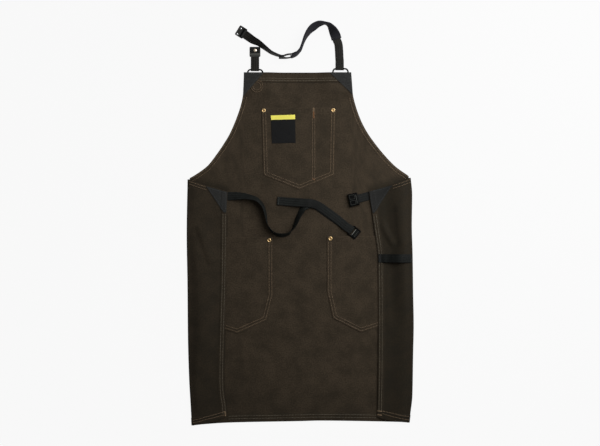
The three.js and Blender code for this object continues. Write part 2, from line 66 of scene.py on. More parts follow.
# eased step: 0 below 0, 1 above 1, 3t^2 - 2t^3 between
def ease(share):
    held = np.clip(share, 0, 1)
    return held * held * (3 - 2 * held)


# cubic reading of a table, with slopes (harmonic means of the rises) that never overshoot
def readSmooth(points):
    x, y = np.array(sorted(points), float).T
    step = np.diff(x)
    rise = np.diff(y) / step
    product = rise[:-1] * rise[1:]
    total = np.where(product > 0, rise[:-1] + rise[1:], 1)
    slope = np.concatenate([rise[:1], np.where(product > 0, 2 * product / total, 0), rise[-1:]])

    def at(value):
        v = np.clip(value, x[0], x[-1])
        k = np.clip(np.searchsorted(x, v) - 1, 0, len(step) - 1)
        t = (v - x[k]) / step[k]
        ends = (1 + 2 * t) * (1 - t) ** 2 * y[k] + t ** 2 * (3 - 2 * t) * y[k + 1]
        return ends + step[k] * (t * (1 - t) ** 2 * slope[k] + t ** 2 * (t - 1) * slope[k + 1])

    return at


# rounded line through points (Catmull-Rom), every column alike
def roundPath(rows, pieces=8):
    rows = np.array(rows, float)
    padded = np.concatenate([2 * rows[:1] - rows[1:2], rows, 2 * rows[-1:] - rows[-2:-1]])
    a, b, c, d = (padded[k:len(padded) - 3 + k, None] for k in range(4))
    t = (np.arange(pieces) / pieces)[None, :, None]
    curve = 2 * b + (c - a) * t + (2 * a - 5 * b + 4 * c - d) * t ** 2 + (3 * b - a - 3 * c + d) * t ** 3
    return np.concatenate([curve.reshape(-1, rows.shape[1]) / 2, rows[-1:]])


# distance along a line to each of its points
def lengthAlong(path):
    return np.concatenate([[0], np.cumsum(np.linalg.norm(np.diff(path, axis=0), axis=1))])


# the same line cut into even steps of about the given length, by its first two or three columns
def evenPath(path, step, axes=2):
    length = lengthAlong(path[:, :axes])
    number = max(2, int(round(length[-1] / step)) + 1)
    at = np.linspace(0, length[-1], number)
    return np.stack([np.interp(at, length, column) for column in path.T], axis=1)


def unit(vectors):
    return vectors / np.maximum(np.linalg.norm(vectors, axis=-1, keepdims=True), 1e-12)


# line moved sideways in plan by a distance, to the right of its run when the distance is positive
def besideLine(line, distance):
    run = unit(np.gradient(line[:, :2], axis=0))
    return line[:, :2] + distance * np.stack([run[:, 1], -run[:, 0]], axis=1)


# least plan distance of points to a line, and how far along the line that is
def edgeDistance(points, line, step=2.0, block=4000):
    fine = evenPath(line, step)
    along = lengthAlong(fine)
    flat = points[..., :2].reshape(-1, 2)
    gap = np.empty(len(flat))
    place = np.empty(len(flat))
    for start in range(0, len(flat), block):  # blocks, to keep the table of distances small
        part = flat[start:start + block]
        square = ((part[:, None] - fine[None]) ** 2).sum(-1)
        nearest = square.argmin(1)
        gap[start:start + block] = np.sqrt(square[np.arange(len(part)), nearest])
        place[start:start + block] = along[nearest]
    return gap.reshape(points.shape[:-1]), place.reshape(points.shape[:-1])


# mesh object from points in mm and blocks of faces, with its own UV in metres and point marks
def makePiece(name, points, faces, material, uv=None, marks=None, sharp=40):
    mesh = bpy.data.meshes.new(name)
    loops = np.concatenate([block.ravel() for block in faces]).astype(np.int32)
    sizes = np.concatenate([np.full(len(block), block.shape[1]) for block in faces])
    mesh.vertices.add(len(points))
    mesh.vertices.foreach_set("co", (np.asarray(points, float) * mm).ravel())
    mesh.loops.add(len(loops))
    mesh.loops.foreach_set("vertex_index", loops)
    mesh.polygons.add(len(sizes))
    mesh.polygons.foreach_set("loop_start", (np.cumsum(sizes) - sizes).astype(np.int32))
    mesh.update(calc_edges=True)
    if uv is not None:
        mesh.uv_layers.new(name="lay").data.foreach_set("uv", (uv[loops] * mm).ravel())
    for key, value in (marks or {}).items():
        mark = mesh.attributes.new(key, "FLOAT", "POINT")
        mark.data.foreach_set("value", np.asarray(value, float).ravel())
    mesh.polygons.foreach_set("use_smooth", np.ones(len(sizes), bool))
    mesh.validate()
    mesh.set_sharp_from_angle(angle=math.radians(sharp))
    mesh.materials.append(material)
    piece = bpy.data.objects.new(name, mesh)
    scene.collection.objects.link(piece)
    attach(piece, "root")
    return piece


# four corners of each cell of a grid of point numbers
def gridQuads(index):
    corners = [index[:-1, :-1], index[1:, :-1], index[1:, 1:], index[:-1, 1:]]
    return np.stack(corners, -1).reshape(-1, 4)


# point numbers of a stack of rings, each with its first point again at its end
def ringIndex(rings, sides):
    index = np.arange(rings * sides).reshape(rings, sides)
    return np.concatenate([index, index[:, :1]], axis=1)


# closed cloth wall: a grid of middle points moved along its normals by above and by below
def clothWall(middle, above, below):
    columns, rows = middle.shape[:2]
    normal = unit(np.cross(np.gradient(middle, axis=0), np.gradient(middle, axis=1)))
    upper = middle + normal * np.broadcast_to(above, (columns, rows))[..., None]
    lower = middle - normal * np.broadcast_to(below, (columns, rows))[..., None]
    index = np.arange(columns * rows).reshape(columns, rows)
    under = index + columns * rows
    rims = [
        np.stack([index[:-1, 0], under[:-1, 0], under[1:, 0], index[1:, 0]], 1),
        np.stack([index[:-1, -1], index[1:, -1], under[1:, -1], under[:-1, -1]], 1),
        np.stack([index[0, :-1], index[0, 1:], under[0, 1:], under[0, :-1]], 1),
        np.stack([index[-1, :-1], under[-1, :-1], under[-1, 1:], index[-1, 1:]], 1),
    ]
    points = np.concatenate([upper.reshape(-1, 3), lower.reshape(-1, 3)])
    return points, [gridQuads(index), gridQuads(under)[:, ::-1], *rims]


# profile (across, up) carried along a path with a direction across and a direction up at each point
def carryProfile(path, across, up, profile, closed=False):
    rings = path[:, None] + profile[None, :, :1] * across[:, None] + profile[None, :, 1:] * up[:, None]
    index = ringIndex(*rings.shape[:2])
    if closed:
        index = np.concatenate([index, index[:1]], axis=0)
    quads = gridQuads(index)
    first, last = index[:1, :-1], index[-1:, :-1]
    # faces point outwards whichever way round the profile runs
    if (np.cross(across, up) * np.gradient(path, axis=0)).sum() > 0:
        faces = [quads[:, ::-1], first[:, ::-1], last]
    else:
        faces = [quads, first, last[:, ::-1]]
    faces = faces[:1] if closed else faces
    return rings.reshape(-1, 3), faces


cornerSteps = 4  # steps round each corner of a rounded ring
ringCount = 4 * (cornerSteps + 1)  # points of such a ring


# rounded rectangle as a ring of points, width by height, counted from the middle
def roundedRing(halfWide, halfHigh, radius):
    turn = np.linspace(0, math.pi / 2, cornerSteps + 1)
    middles = [(1, 1, 0), (-1, 1, 1), (-1, -1, 2), (1, -1, 3)]
    parts = [
        np.stack([
            sx * (halfWide - radius) + radius * np.cos(turn + quarter * math.pi / 2),
            sy * (halfHigh - radius) + radius * np.sin(turn + quarter * math.pi / 2),
        ], 1)
        for sx, sy, quarter in middles
    ]
    return np.concatenate(parts)


print("tools ready")

# materials


waveTurn = 0.314159  # scale times period of a wave texture, two pi over 20


# period in mm of a wave texture's bands, as the texture's scale
def bandScale(period):
    return waveTurn / (period * mm)


# noise scale for spots of about the given size in mm
def spotScale(size):
    return 1 / (size * mm)


def newMaterial(name):
    material = bpy.data.materials.new(name)
    material.use_nodes = True
    tree = material.node_tree
    tree.nodes.clear()
    shader = addNode(tree, "ShaderNodeBsdfPrincipled")
    addNode(tree, "ShaderNodeOutputMaterial", {"Surface": shader.outputs[0]})
    return material, tree, shader


# Cotton canvas, plain woven and waxed: dull, slightly mottled, the reverse darker and greener.
# The real threads are 0.7 mm apart; they are drawn at 1.5 mm so that they show.
canvasSpec = {
    "face": "#2a2319", "faceWorn": "#3c3328", "reverse": "#1d1911", "reverseWorn": "#272118",
    "threadGap": 1.5, "mottle": 38, "fleck": 3.0, "rough": 0.82, "hemRidge": 12.5, "puckerGap": 8.0,
}


def makeCanvas(name, face, faceWorn, reverse, reverseWorn):
    spec = canvasSpec
    material, tree, shader = newMaterial(name)
    lay = addNode(tree, "ShaderNodeTexCoord").outputs["UV"]
    side, hem, along = (
        addNode(tree, "ShaderNodeAttribute", attribute_name=mark).outputs["Fac"]
        for mark in ("reverse", "hemGap", "hemAlong"))
    mottle = addNode(tree, "ShaderNodeTexNoise", {
        "Vector": lay, "Scale": spotScale(spec["mottle"]), "Detail": 4.0, "Roughness": 0.6})
    fleck = addNode(tree, "ShaderNodeTexNoise", {
        "Vector": lay, "Scale": spotScale(spec["fleck"]), "Detail": 2.0})
    blend = addNode(tree, "ShaderNodeMath", {
        0: mottle.outputs["Fac"], 1: fleck.outputs["Fac"]}, operation="MULTIPLY")
    worn = addNode(tree, "ShaderNodeMapRange", {
        "Value": blend.outputs[0], "From Min": 0.15, "From Max": 0.36})
    # hems rub lighter along the outermost 2 mm
    rub = addNode(tree, "ShaderNodeMapRange", {
        "Value": hem, "From Min": 0.2, "From Max": 2.4, "To Min": 0.5, "To Max": 0.0})
    wear = addNode(tree, "ShaderNodeMath", {
        0: worn.outputs[0], 1: rub.outputs[0]}, operation="ADD", use_clamp=True)
    front, back = (
        addNode(tree, "ShaderNodeMix", {
            0: wear.outputs[0], 6: colour(dark), 7: colour(pale)}, data_type="RGBA")
        for dark, pale in ((face, faceWorn), (reverse, reverseWorn)))
    # the side mark mixes towards the reverse colour: the reverse side itself, and painted shade
    both = addNode(tree, "ShaderNodeMix", {
        0: side, 6: front.outputs[2], 7: back.outputs[2]}, data_type="RGBA")
    tree.links.new(both.outputs[2], shader.inputs["Base Color"])
    rough = addNode(tree, "ShaderNodeMapRange", {
        "Value": mottle.outputs["Fac"], "From Min": 0.3, "From Max": 0.7,
        "To Min": spec["rough"] - 0.08, "To Max": spec["rough"] + 0.08})
    tree.links.new(rough.outputs[0], shader.inputs["Roughness"])
    warp, weft = (
        addNode(tree, "ShaderNodeTexWave", {
            "Vector": lay, "Scale": bandScale(spec["threadGap"]), "Distortion": 0.6, "Detail": 1.0},
            bands_direction=way)
        for way in ("X", "Y"))
    weave = addNode(tree, "ShaderNodeMath", {
        0: warp.outputs["Fac"], 1: weft.outputs["Fac"]}, operation="MAXIMUM")
    # a hem stands up out to its ridge, and its stitching draws it into small puckers
    ridge = addNode(tree, "ShaderNodeMapRange", {
        "Value": hem, "From Min": spec["hemRidge"] - 1, "From Max": spec["hemRidge"] + 1,
        "To Min": 1.0, "To Max": 0.0}, interpolation_type="SMOOTHSTEP")
    pucker = addNode(tree, "ShaderNodeTexNoise", {
        "W": along, "Scale": 1 / spec["puckerGap"], "Detail": 1.0}, noise_dimensions="1D")
    drawn = addNode(tree, "ShaderNodeMath", {
        0: ridge.outputs[0], 1: pucker.outputs["Fac"]}, operation="MULTIPLY")
    slow = addNode(tree, "ShaderNodeBump", {
        "Height": drawn.outputs[0], "Strength": 0.55, "Distance": 1.2 * mm})
    uneven = addNode(tree, "ShaderNodeBump", {
        "Height": fleck.outputs["Fac"], "Strength": 0.35, "Distance": 0.5 * mm, "Normal": slow.outputs[0]})
    fine = addNode(tree, "ShaderNodeBump", {
        "Height": weave.outputs[0], "Strength": 0.4, "Distance": 0.25 * mm, "Normal": uneven.outputs[0]})
    tree.links.new(fine.outputs[0], shader.inputs["Normal"])
    shader.inputs["Specular IOR Level"].default_value = 0.12
    shader.inputs["Sheen Weight"].default_value = 0.03
    shader.inputs["Sheen Roughness"].default_value = 0.5
    return material


waxedCanvas = makeCanvas(
    "waxed cotton canvas", canvasSpec["face"], canvasSpec["faceWorn"],
    canvasSpec["reverse"], canvasSpec["reverseWorn"])
greyCanvas = makeCanvas("grey cotton canvas", "#242423", "#2d2d2c", "#1c1c1b", "#242423")  # flat and dry


# Polyester webbing: ribs along the strap and picks across it, a low silky shine on the ribs, dark selvedges.
# Ribs are 1.4 mm apart and picks 1.7 mm, about as woven; every fourth rib or so is drawn as a paler stripe.
# A point mark paints shade on a strap: where it is high the strap is drawn darker, where it leans away from
# the light or lies in shade.
webSpec = {
    "rib": 1.43, "pick": 1.7, "rough": 0.6, "stripe": 5.2, "selvedge": 8.3, "half": 10.0, "spots": 14,
}


def makeWebbing(name, dark, light, rib, pick, rough, stripe=None):
    material, tree, shader = newMaterial(name)
    lay = addNode(tree, "ShaderNodeTexCoord").outputs["UV"]
    ribs = addNode(tree, "ShaderNodeTexWave", {"Vector": lay, "Scale": bandScale(rib)}, bands_direction="X")
    picks = addNode(tree, "ShaderNodeTexWave", {
        "Vector": lay, "Scale": bandScale(pick), "Distortion": 0.8, "Detail": 1.0}, bands_direction="Y")
    spots = addNode(tree, "ShaderNodeTexNoise", {
        "Vector": lay, "Scale": spotScale(webSpec["spots"]), "Detail": 3.0})
    height = addNode(tree, "ShaderNodeMath", {
        0: ribs.outputs["Fac"], 1: picks.outputs["Fac"]}, operation="MULTIPLY")
    tint = addNode(tree, "ShaderNodeMath", {
        0: height.outputs[0], 1: spots.outputs["Fac"]}, operation="MULTIPLY")
    if stripe:
        # painted shade: where the point mark is high the strap is drawn darker
        webShade = addNode(tree, "ShaderNodeAttribute", attribute_name="webShade")
        unshaded = addNode(tree, "ShaderNodeMath", {0: 1.0, 1: webShade.outputs["Fac"]}, operation="SUBTRACT")
        stripes = addNode(tree, "ShaderNodeTexWave", {
            "Vector": lay, "Scale": bandScale(stripe), "Phase Offset": 1.6}, bands_direction="X")
        drawn = addNode(tree, "ShaderNodeMath", {
            0: stripes.outputs["Fac"], 1: spots.outputs["Fac"]}, operation="MULTIPLY")
        tint = addNode(tree, "ShaderNodeMath", {
            0: drawn.outputs[0], 1: 0.75, 2: tint.outputs[0]}, operation="MULTIPLY_ADD", use_clamp=True)
        split = addNode(tree, "ShaderNodeSeparateXYZ", {"Vector": lay})
        off = addNode(tree, "ShaderNodeMath", {0: split.outputs["X"]}, operation="ABSOLUTE")
        inner = addNode(tree, "ShaderNodeMapRange", {
            "Value": off.outputs[0], "From Min": webSpec["selvedge"] * mm, "From Max": webSpec["half"] * mm,
            "To Min": 1.0, "To Max": 0.0})
        for share in (inner, unshaded):
            tint = addNode(tree, "ShaderNodeMath", {
                0: tint.outputs[0], 1: share.outputs[0]}, operation="MULTIPLY")
    shade = addNode(tree, "ShaderNodeMix", {
        0: tint.outputs[0], 6: colour(dark), 7: colour(light)}, data_type="RGBA")
    tree.links.new(shade.outputs[2], shader.inputs["Base Color"])
    gloss = addNode(tree, "ShaderNodeMapRange", {
        "Value": spots.outputs["Fac"], "To Min": rough - 0.08, "To Max": rough + 0.12})
    tree.links.new(gloss.outputs[0], shader.inputs["Roughness"])
    bump = addNode(tree, "ShaderNodeBump", {
        "Height": height.outputs[0], "Strength": 0.6, "Distance": 0.35 * mm})
    tree.links.new(bump.outputs[0], shader.inputs["Normal"])
    shader.inputs["Specular IOR Level"].default_value = 0.12
    return material


strapWeave = (webSpec["rib"], webSpec["pick"], webSpec["rough"], webSpec["stripe"])
neckWeb = makeWebbing("polyester webbing with painted light", "#11100e", "#2d2b27", *strapWeave)  # neck run, a lighter copy: painted light, for the run lying on the bright floor
waistWeb = makeWebbing("polyester webbing", "#0b0c0b", "#272a28", *strapWeave)  # waist run
loopWeb = makeWebbing("polyester webbing with painted shade", "#070807", "#191c1a", *strapWeave)  # tool loop, a darker copy: painted shade
# open knit with cells of 2.6 mm, dull
knitPad = makeWebbing("knitted pad cover", "#17171b", "#3a3a42", 2.6, 2.6, 0.75)
# tight satin weave with threads of 0.9 mm, in black and in yellow
satinLabel = makeWebbing("damask label black", "#0a0a0b", "#181919", 0.9, 0.9, 0.5)
satinBand = makeWebbing("damask label yellow", "#e6dc60", "#fdf376", 0.9, 0.9, 0.5)


# Core-spun sewing thread: twisted plies 0.9 mm apart show as slanting bands, soft shine
def makeThread(name, dark, light):
    material, tree, shader = newMaterial(name)
    place = addNode(tree, "ShaderNodeTexCoord").outputs["Object"]
    twist = addNode(tree, "ShaderNodeTexWave", {
        "Vector": place, "Scale": bandScale(0.9), "Distortion": 1.5}, bands_direction="DIAGONAL")
    patchy = addNode(tree, "ShaderNodeTexNoise", {
        "Vector": place, "Scale": spotScale(45), "Detail": 3.0, "Roughness": 0.7})
    part = addNode(tree, "ShaderNodeMath", {
        0: twist.outputs["Fac"], 1: patchy.outputs["Fac"]}, operation="MULTIPLY")
    shade = addNode(tree, "ShaderNodeMix", {
        0: part.outputs[0], 6: colour(dark), 7: colour(light)}, data_type="RGBA")
    tree.links.new(shade.outputs[2], shader.inputs["Base Color"])
    bump = addNode(tree, "ShaderNodeBump", {
        "Height": twist.outputs["Fac"], "Strength": 0.5, "Distance": 0.15 * mm})
    tree.links.new(bump.outputs[0], shader.inputs["Normal"])
    shader.inputs["Roughness"].default_value = 0.6
    shader.inputs["Specular IOR Level"].default_value = 0.35
    return material


tanThread = makeThread("tan sewing thread", "#6c5844", "#b29877")
oliveThread = makeThread("olive bobbin thread", "#565043", "#928a76")  # under thread, shows on the wings
rustThread = makeThread("rust sewing thread", "#6b4a30", "#a87145")
greyThread = makeThread("grey sewing thread", "#2a2c2b", "#484b49")
blackThread = makeThread("black sewing thread", "#060707", "#101212")


# Acetal, injection moulded: near black, an even fine grain, standing edges drawn pale grey as painted
# highlight
def makePlastic():
    material, tree, shader = newMaterial("black moulded acetal")
    place = addNode(tree, "ShaderNodeTexCoord").outputs["Object"]
    grain = addNode(tree, "ShaderNodeTexNoise", {"Vector": place, "Scale": spotScale(0.8), "Detail": 2.0})
    scuff = addNode(tree, "ShaderNodeTexNoise", {"Vector": place, "Scale": spotScale(9), "Detail": 4.0})
    shade = addNode(tree, "ShaderNodeMix", {
        0: scuff.outputs["Fac"], 6: colour("#020202"), 7: colour("#080909")}, data_type="RGBA")
    # painted highlight: where the mark is high the plastic is drawn pale grey
    wearAndHighlight = addNode(tree, "ShaderNodeAttribute", attribute_name="wearAndHighlight")
    paler = addNode(tree, "ShaderNodeMix", {
        0: wearAndHighlight.outputs["Fac"], 6: shade.outputs[2], 7: colour("#7d7e79")}, data_type="RGBA")
    tree.links.new(paler.outputs[2], shader.inputs["Base Color"])
    gloss = addNode(tree, "ShaderNodeMapRange", {"Value": scuff.outputs["Fac"], "To Min": 0.4, "To Max": 0.6})
    tree.links.new(gloss.outputs[0], shader.inputs["Roughness"])
    bump = addNode(tree, "ShaderNodeBump", {
        "Height": grain.outputs["Fac"], "Strength": 0.2, "Distance": 0.1 * mm})
    tree.links.new(bump.outputs[0], shader.inputs["Normal"])
    shader.inputs["IOR"].default_value = 1.48
    shader.inputs["Specular IOR Level"].default_value = 0.04
    return material


# Metals, bare or under a black skin: colour and polish vary a little from tumbling, hollows stay brown
def makeMetal(name, dark, light, smooth, rough, bare=1.0):
    material, tree, shader = newMaterial(name)
    place = addNode(tree, "ShaderNodeTexCoord").outputs["Object"]
    wearAndHighlight = addNode(tree, "ShaderNodeTexNoise", {"Vector": place, "Scale": spotScale(2.5), "Detail": 3.0})
    shade = addNode(tree, "ShaderNodeMix", {
        0: wearAndHighlight.outputs["Fac"], 6: colour(dark), 7: colour(light)}, data_type="RGBA")
    hollow = addNode(tree, "ShaderNodeAttribute", attribute_name="hollow")
    dull = addNode(tree, "ShaderNodeMix", {
        0: hollow.outputs["Fac"], 6: shade.outputs[2], 7: colour("#6b4320")}, data_type="RGBA")
    tree.links.new(dull.outputs[2], shader.inputs["Base Color"])
    gloss = addNode(tree, "ShaderNodeMapRange", {
        "Value": wearAndHighlight.outputs["Fac"], "To Min": smooth, "To Max": rough})
    tree.links.new(gloss.outputs[0], shader.inputs["Roughness"])
    shader.inputs["Metallic"].default_value = bare
    shader.inputs["Specular IOR Level"].default_value = 0.1 + 0.4 * bare
    return material


blackAcetal = makePlastic()
brass = makeMetal("tumbled brass", "#cfa96e", "#ecd09e", 0.3, 0.45)
paleBrass = makeMetal("nickel washed brass", "#dccbb0", "#fbf0de", 0.3, 0.45)
nickel = makeMetal("nickel plated steel", "#b4b7ba", "#e2e4e6", 0.2, 0.35)
blackWire = makeMetal("black oxide steel wire", "#060607", "#0e0f10", 0.5, 0.7, bare=0.0)
print("materials ready")

# body cloth: one piece of canvas, bib and skirt, both sides folded forward as wings
body = {
    "thick": 1.2, "gap": 0.3, "bibTop": 420.7, "foldReach": 4.4, "foldHigh": 5.6, "wingRest": 4.3,
    "hemExtra": 0.8, "hemSlope": 1.2, "hemDeep": 18, "bibHemDeep": 23, "wingHem": 12.5, "unrubbed": 3.0,
    "wave": 0.7, "liftHigh": 7.2, "liftInner": 35, "liftOuter": 78, "liftLow": 345, "liftFull": 383,
    # columns: gaps from a wing's free edge, even ones, the fold's, the armhole's (closer under the free edge)
    "wingSpan": 96.0, "edgeGaps": [0, 0.6, 2, 5, 9, 11.9, 12.5, 13.1, 14.5, 18], "evenGap": 24,
    "nearFold": 0.03, "wingColumns": 20, "foldColumns": 17, "bibColumns": 44, "hemClear": 90,
    "armStep": 6.5, "closeStep": 1.7, "closeFrom": 166, "closeTo": 194,
    "wingLowRow": -410.0, "wingTopRow": 150.0,
    # rows: gaps from the lower and the upper end, and even ones between
    "lowGaps": [0, 0.6, 2, 6, 12, 16.8, 17.4, 18, 18.6, 19.4], "evenLow": 24, "evenHigh": 30, "evenRows": 110,
    "highGaps": [25, 24, 23.6, 23, 22.4, 21.5, 16, 9, 3, 0.6, 0],
}
leftSide = {
    "hand": -1,
    "armhole": [
        (-130.8, 420.7), (-131.6, 394.5), (-132.9, 368.4), (-137.8, 344.4), (-145.4, 320.4), (-154.8, 296.4),
        (-165.8, 272.4), (-180.2, 248.4), (-196.6, 224.4), (-215, 200.4), (-228.7, 188.4), (-246.2, 176.4),
        (-261, 167.6)],
    "hip": (-266, 164.4),
    "fold": [
        (164, -266), (32, -268.1), (-88, -266.2), (-208, -265.2), (-304, -262.6), (-376, -258.7),
        (-424.8, -255.9)],
    "edge": [
        (134.4, -170.4), (87.4, -172.1), (-4.8, -172.8), (-124.8, -175), (-196.8, -177.2), (-316.8, -179.4),
        (-352, -177.4), (-376.8, -173.6), (-401.3, -171.4)],
    "wingTop": [(-266, 164.4), (-242, 156), (-219.6, 149), (-198.7, 144.8), (-170.4, 134.9)],
    "wingLow": [(-255.9, -424.8), (-226.8, -421), (-198, -414.9), (-171.1, -401.3)],
    "dome": [(164, 1), (60, 1.4), (10, 2.2), (-40, 4.8), (-80, 5.5), (-200, 6.5), (-320, 3), (-424, 1.2)],
    "flat": 1.0, "foldShare": 0.0, "turned": 0.6, "contact": 1.0,
    "crest": [(164, 0.14), (60, 0.15), (-80, 0.26), (-200, 0.33), (-320, 0.16), (-424, 0.14)],
}
rightSide = {
    "hand": 1,
    "armhole": [
        (126.2, 420.7), (128.2, 394.5), (130.3, 368.4), (136.1, 344.4), (144, 320.4), (154.3, 296.4),
        (168, 272.4), (185.3, 248.4), (204.7, 224.4), (227.3, 200.4), (241.7, 188.4), (259.4, 176.4),
        (264.4, 172.4)],
    "hip": (269, 168),
    "fold": [
        (168, 269), (128, 272.4), (56, 271.5), (-16, 273.4), (-112, 274.8), (-184, 276.2), (-256, 274.8),
        (-352, 273.1), (-400, 267.8), (-417.6, 265.7)],
    "edge": [
        (135.6, 168.7), (114.5, 171.6), (85.7, 176.4), (47.3, 181.9), (15.1, 186.7), (-14.4, 190.3),
        (-62.4, 191.2), (-165.6, 191.8), (-270.5, 191.6), (-353.5, 190.4), (-404.2, 189.6)],
    "wingTop": [(269, 168), (248, 159.6), (226.1, 152.4), (206.9, 147.9), (168.5, 136.1)],
    "wingLow": [(265.7, -417.6), (243.6, -415.7), (224.4, -413.8), (205.2, -410.4), (188.9, -404.2)],
    "dome": [(168, 6), (110, 9), (-20, 10), (-100, 9), (-200, 3.5), (-300, 2.6), (-380, 3.8), (-418, 3)],
    "flat": 0.64, "foldShare": 0.6, "turned": 0.35, "contact": 0.5,
    "crest": [(168, 0.2), (-418, 0.2)],
}
frontLow = readSmooth([(-266, -424.8), (-169, -418.6), (4, -415.2), (52, -414), (190, -415.8), (266, -417.6)])
for side in (leftSide, rightSide):
    side["foldX"] = readSmooth(side["fold"])
    side["edgeX"] = readSmooth(side["edge"])
    side["topY"] = readSmooth(side["wingTop"])
    side["lowY"] = readSmooth(side["wingLow"])
    side["domeHigh"] = readSmooth(side["dome"])
    side["crestAt"] = readSmooth(side["crest"])


# bib corners rise over the rings behind them: an eased step across times an eased step up
def cornerLift(x, y):
    across = ease((np.abs(x) - body["liftInner"]) / (body["liftOuter"] - body["liftInner"]))
    return body["liftHigh"] * across * ease((y - body["liftLow"]) / (body["liftFull"] - body["liftLow"]))


# slack of the cloth on the floor: two products of slow sines, squared so that they only rise
# (lengths are mm for each radian of a wave)
def clothWave(x, y):
    first = np.sin(x / 61 + y / 143 + 0.6) * np.sin(y / 97 - x / 210 + 1.1)
    second = np.sin(x / 33 - y / 71 + 2.0) * np.sin(y / 54 + 0.4)
    return body["wave"] * (0.8 * first ** 2 + 0.35 * second ** 2)


# doubled cloth of a hem: 1 within its depth from the edge, eased to 0 over its slope
def hemStep(deep, gap):
    return ease((deep + body["hemSlope"] / 2 - gap) / body["hemSlope"])


# middle height of the flat front
def frontMiddle(x, y):
    return body["thick"] / 2 + cornerLift(x, y) + clothWave(x, y)


# height of the front's upper side
def frontTop(x, y):
    lowHem = hemStep(body["hemDeep"], y - frontLow(x))
    bibHem = hemStep(body["bibHemDeep"], body["bibTop"] - y)
    return frontMiddle(x, y) + body["thick"] / 2 + body["hemExtra"] * np.maximum(lowHem, bibHem)


# where the flat front ends and the half-ellipse of the fold begins
def turnX(side, y):
    return side["foldX"](y) - side["hand"] * (body["thick"] / 2 + body["foldReach"])


# place across a wing: 0 at the fold, 1 at the free edge
def wingX(side, share, y):
    return turnX(side, y) * (1 - share) + side["edgeX"](y) * share


# slack of a wing: a dome eased up from the fold to its crest and down to where it lies flat
def wingDome(side, share, y):
    crest = side["crestAt"](y)
    rise = side["foldShare"] + (1 - side["foldShare"]) * ease(share / crest)
    fall = 1 - ease((share - crest) / (side["flat"] - crest))
    return side["domeHigh"](y) * np.where(share < crest, rise, fall)


# creases of the wings: each runs from one place to another, rises over its width and falls back more slowly
creases = {
    -1: [
        {"from": (-243, 46), "to": (-216, -34), "high": 2.8, "rise": 10, "fall": 36},
        {"from": (-196, 78), "to": (-185, 52), "high": 0.5, "rise": 6, "fall": 14},
        {"from": (-236, -96), "to": (-196, -118), "high": 0.8, "rise": 12, "fall": 30}],
    1: [
        {"from": (199, 48), "to": (219, 10), "high": 3.6, "rise": 9, "fall": 14},
        {"from": (196, 66), "to": (206, 52), "high": 0.7, "rise": 6, "fall": 10},
        {"from": (231, 100), "to": (240, 12), "high": 1.8, "rise": 9, "fall": 44},
        {"from": (202, -160), "to": (222, -206), "high": 0.7, "rise": 12, "fall": 24}],
}
creaseFade = {"ends": 12, "edge": 0.2, "fold": 0.12}  # mm beyond its ends, shares of the wing at both sides


def wingDents(side, share, y):
    x = wingX(side, share, y)
    dents = 0
    for crease in creases[side["hand"]]:
        start, end = np.array(crease["from"], float), np.array(crease["to"], float)
        run = unit(end - start)
        along = (x - start[0]) * run[0] + (y - start[1]) * run[1]
        beside = (y - start[1]) * run[0] - (x - start[0]) * run[1]
        up = ease(beside / crease["rise"] + 0.5)
        down = 1 - ease((beside - crease["rise"] / 2) / crease["fall"])
        left = np.linalg.norm(end - start) - along
        ends = ease(along / creaseFade["ends"] + 1) * ease(left / creaseFade["ends"] + 1)
        dents = dents + crease["high"] * up * down * ends
    return dents * ease((1 - share) / creaseFade["edge"]) * ease(share / creaseFade["fold"])


# middle height of a wing, from the top of the fold down to its free edge
def wingMiddle(side, share, y):
    rest, top = body["wingRest"], body["thick"] / 2 + body["foldHigh"]
    return rest + (top - rest) * (1 - ease(share)) + wingDome(side, share, y) + wingDents(side, share, y)


# height of a wing's upper side at places on it
def wingTopAt(side, x, y):
    share = np.clip((x - turnX(side, y)) / (side["edgeX"](y) - turnX(side, y)), 0, 1)
    inset = np.minimum(np.abs(side["edgeX"](y) - x), y - side["lowY"](x))
    hem = hemStep(body["wingHem"], inset)
    return wingMiddle(side, share, y) + body["thick"] / 2 + body["hemExtra"] * hem


# whether places of the armhole stand over a wing's free edge, where the columns of the front come closer
def underEdge(places):
    return (np.abs(places[:, 0]) > body["closeFrom"]) & (np.abs(places[:, 0]) < body["closeTo"])


# rows of a column: close steps at both hems, even steps between
def bodyRows(low, high):
    even = np.linspace(low + body["evenLow"], high - body["evenHigh"], body["evenRows"])
    return np.concatenate([low + np.array(body["lowGaps"]), even, high - np.array(body["highGaps"])])


# columns of one side from the wing's free edge over the fold to the bib, and whether each is on the wing
def bodySide(side):
    span = body["wingSpan"]
    even = np.linspace(1 - body["evenGap"] / span, body["nearFold"], body["wingColumns"])
    shares = np.concatenate([1 - np.array(body["edgeGaps"]) / span, even])
    turns = np.linspace(math.pi / 2, -math.pi / 2, body["foldColumns"])
    columns, wing = [], []
    for share in shares:
        low = float(side["lowY"](wingX(side, share, body["wingLowRow"])))
        y = bodyRows(low, float(side["topY"](wingX(side, share, body["wingTopRow"]))))
        columns.append(np.stack([wingX(side, share, y), y, wingMiddle(side, share, y)], 1))
        wing.append(True)
    for turn in turns:
        y = bodyRows(side["wingLow"][0][1], side["hip"][1])
        top = wingMiddle(side, 0.0, y)
        low = body["thick"] / 2 + clothWave(turnX(side, y), y)
        x = turnX(side, y) + side["hand"] * body["foldReach"] * math.cos(turn)
        columns.append(np.stack([x, y, (top + low) / 2 + (top - low) / 2 * math.sin(turn)], 1))
        wing.append(bool(turn > 0))
    line = roundPath(side["armhole"])
    coarse, close = evenPath(line, body["armStep"]), evenPath(line, body["closeStep"])
    armhole = np.concatenate([coarse[~underEdge(coarse)], close[underEdge(close)]])
    for labelX, high in armhole[np.argsort(-np.abs(armhole[:, 0]))]:
        y = bodyRows(float(frontLow(labelX)), high)
        ratio = side["foldX"](np.minimum(y, side["hip"][1])) / side["hip"][0]
        x = labelX * (1 + (ratio - 1) * abs(labelX / side["hip"][0]))
        columns.append(np.stack([x, y, frontMiddle(x, y)], 1))
        wing.append(False)
    return columns, wing


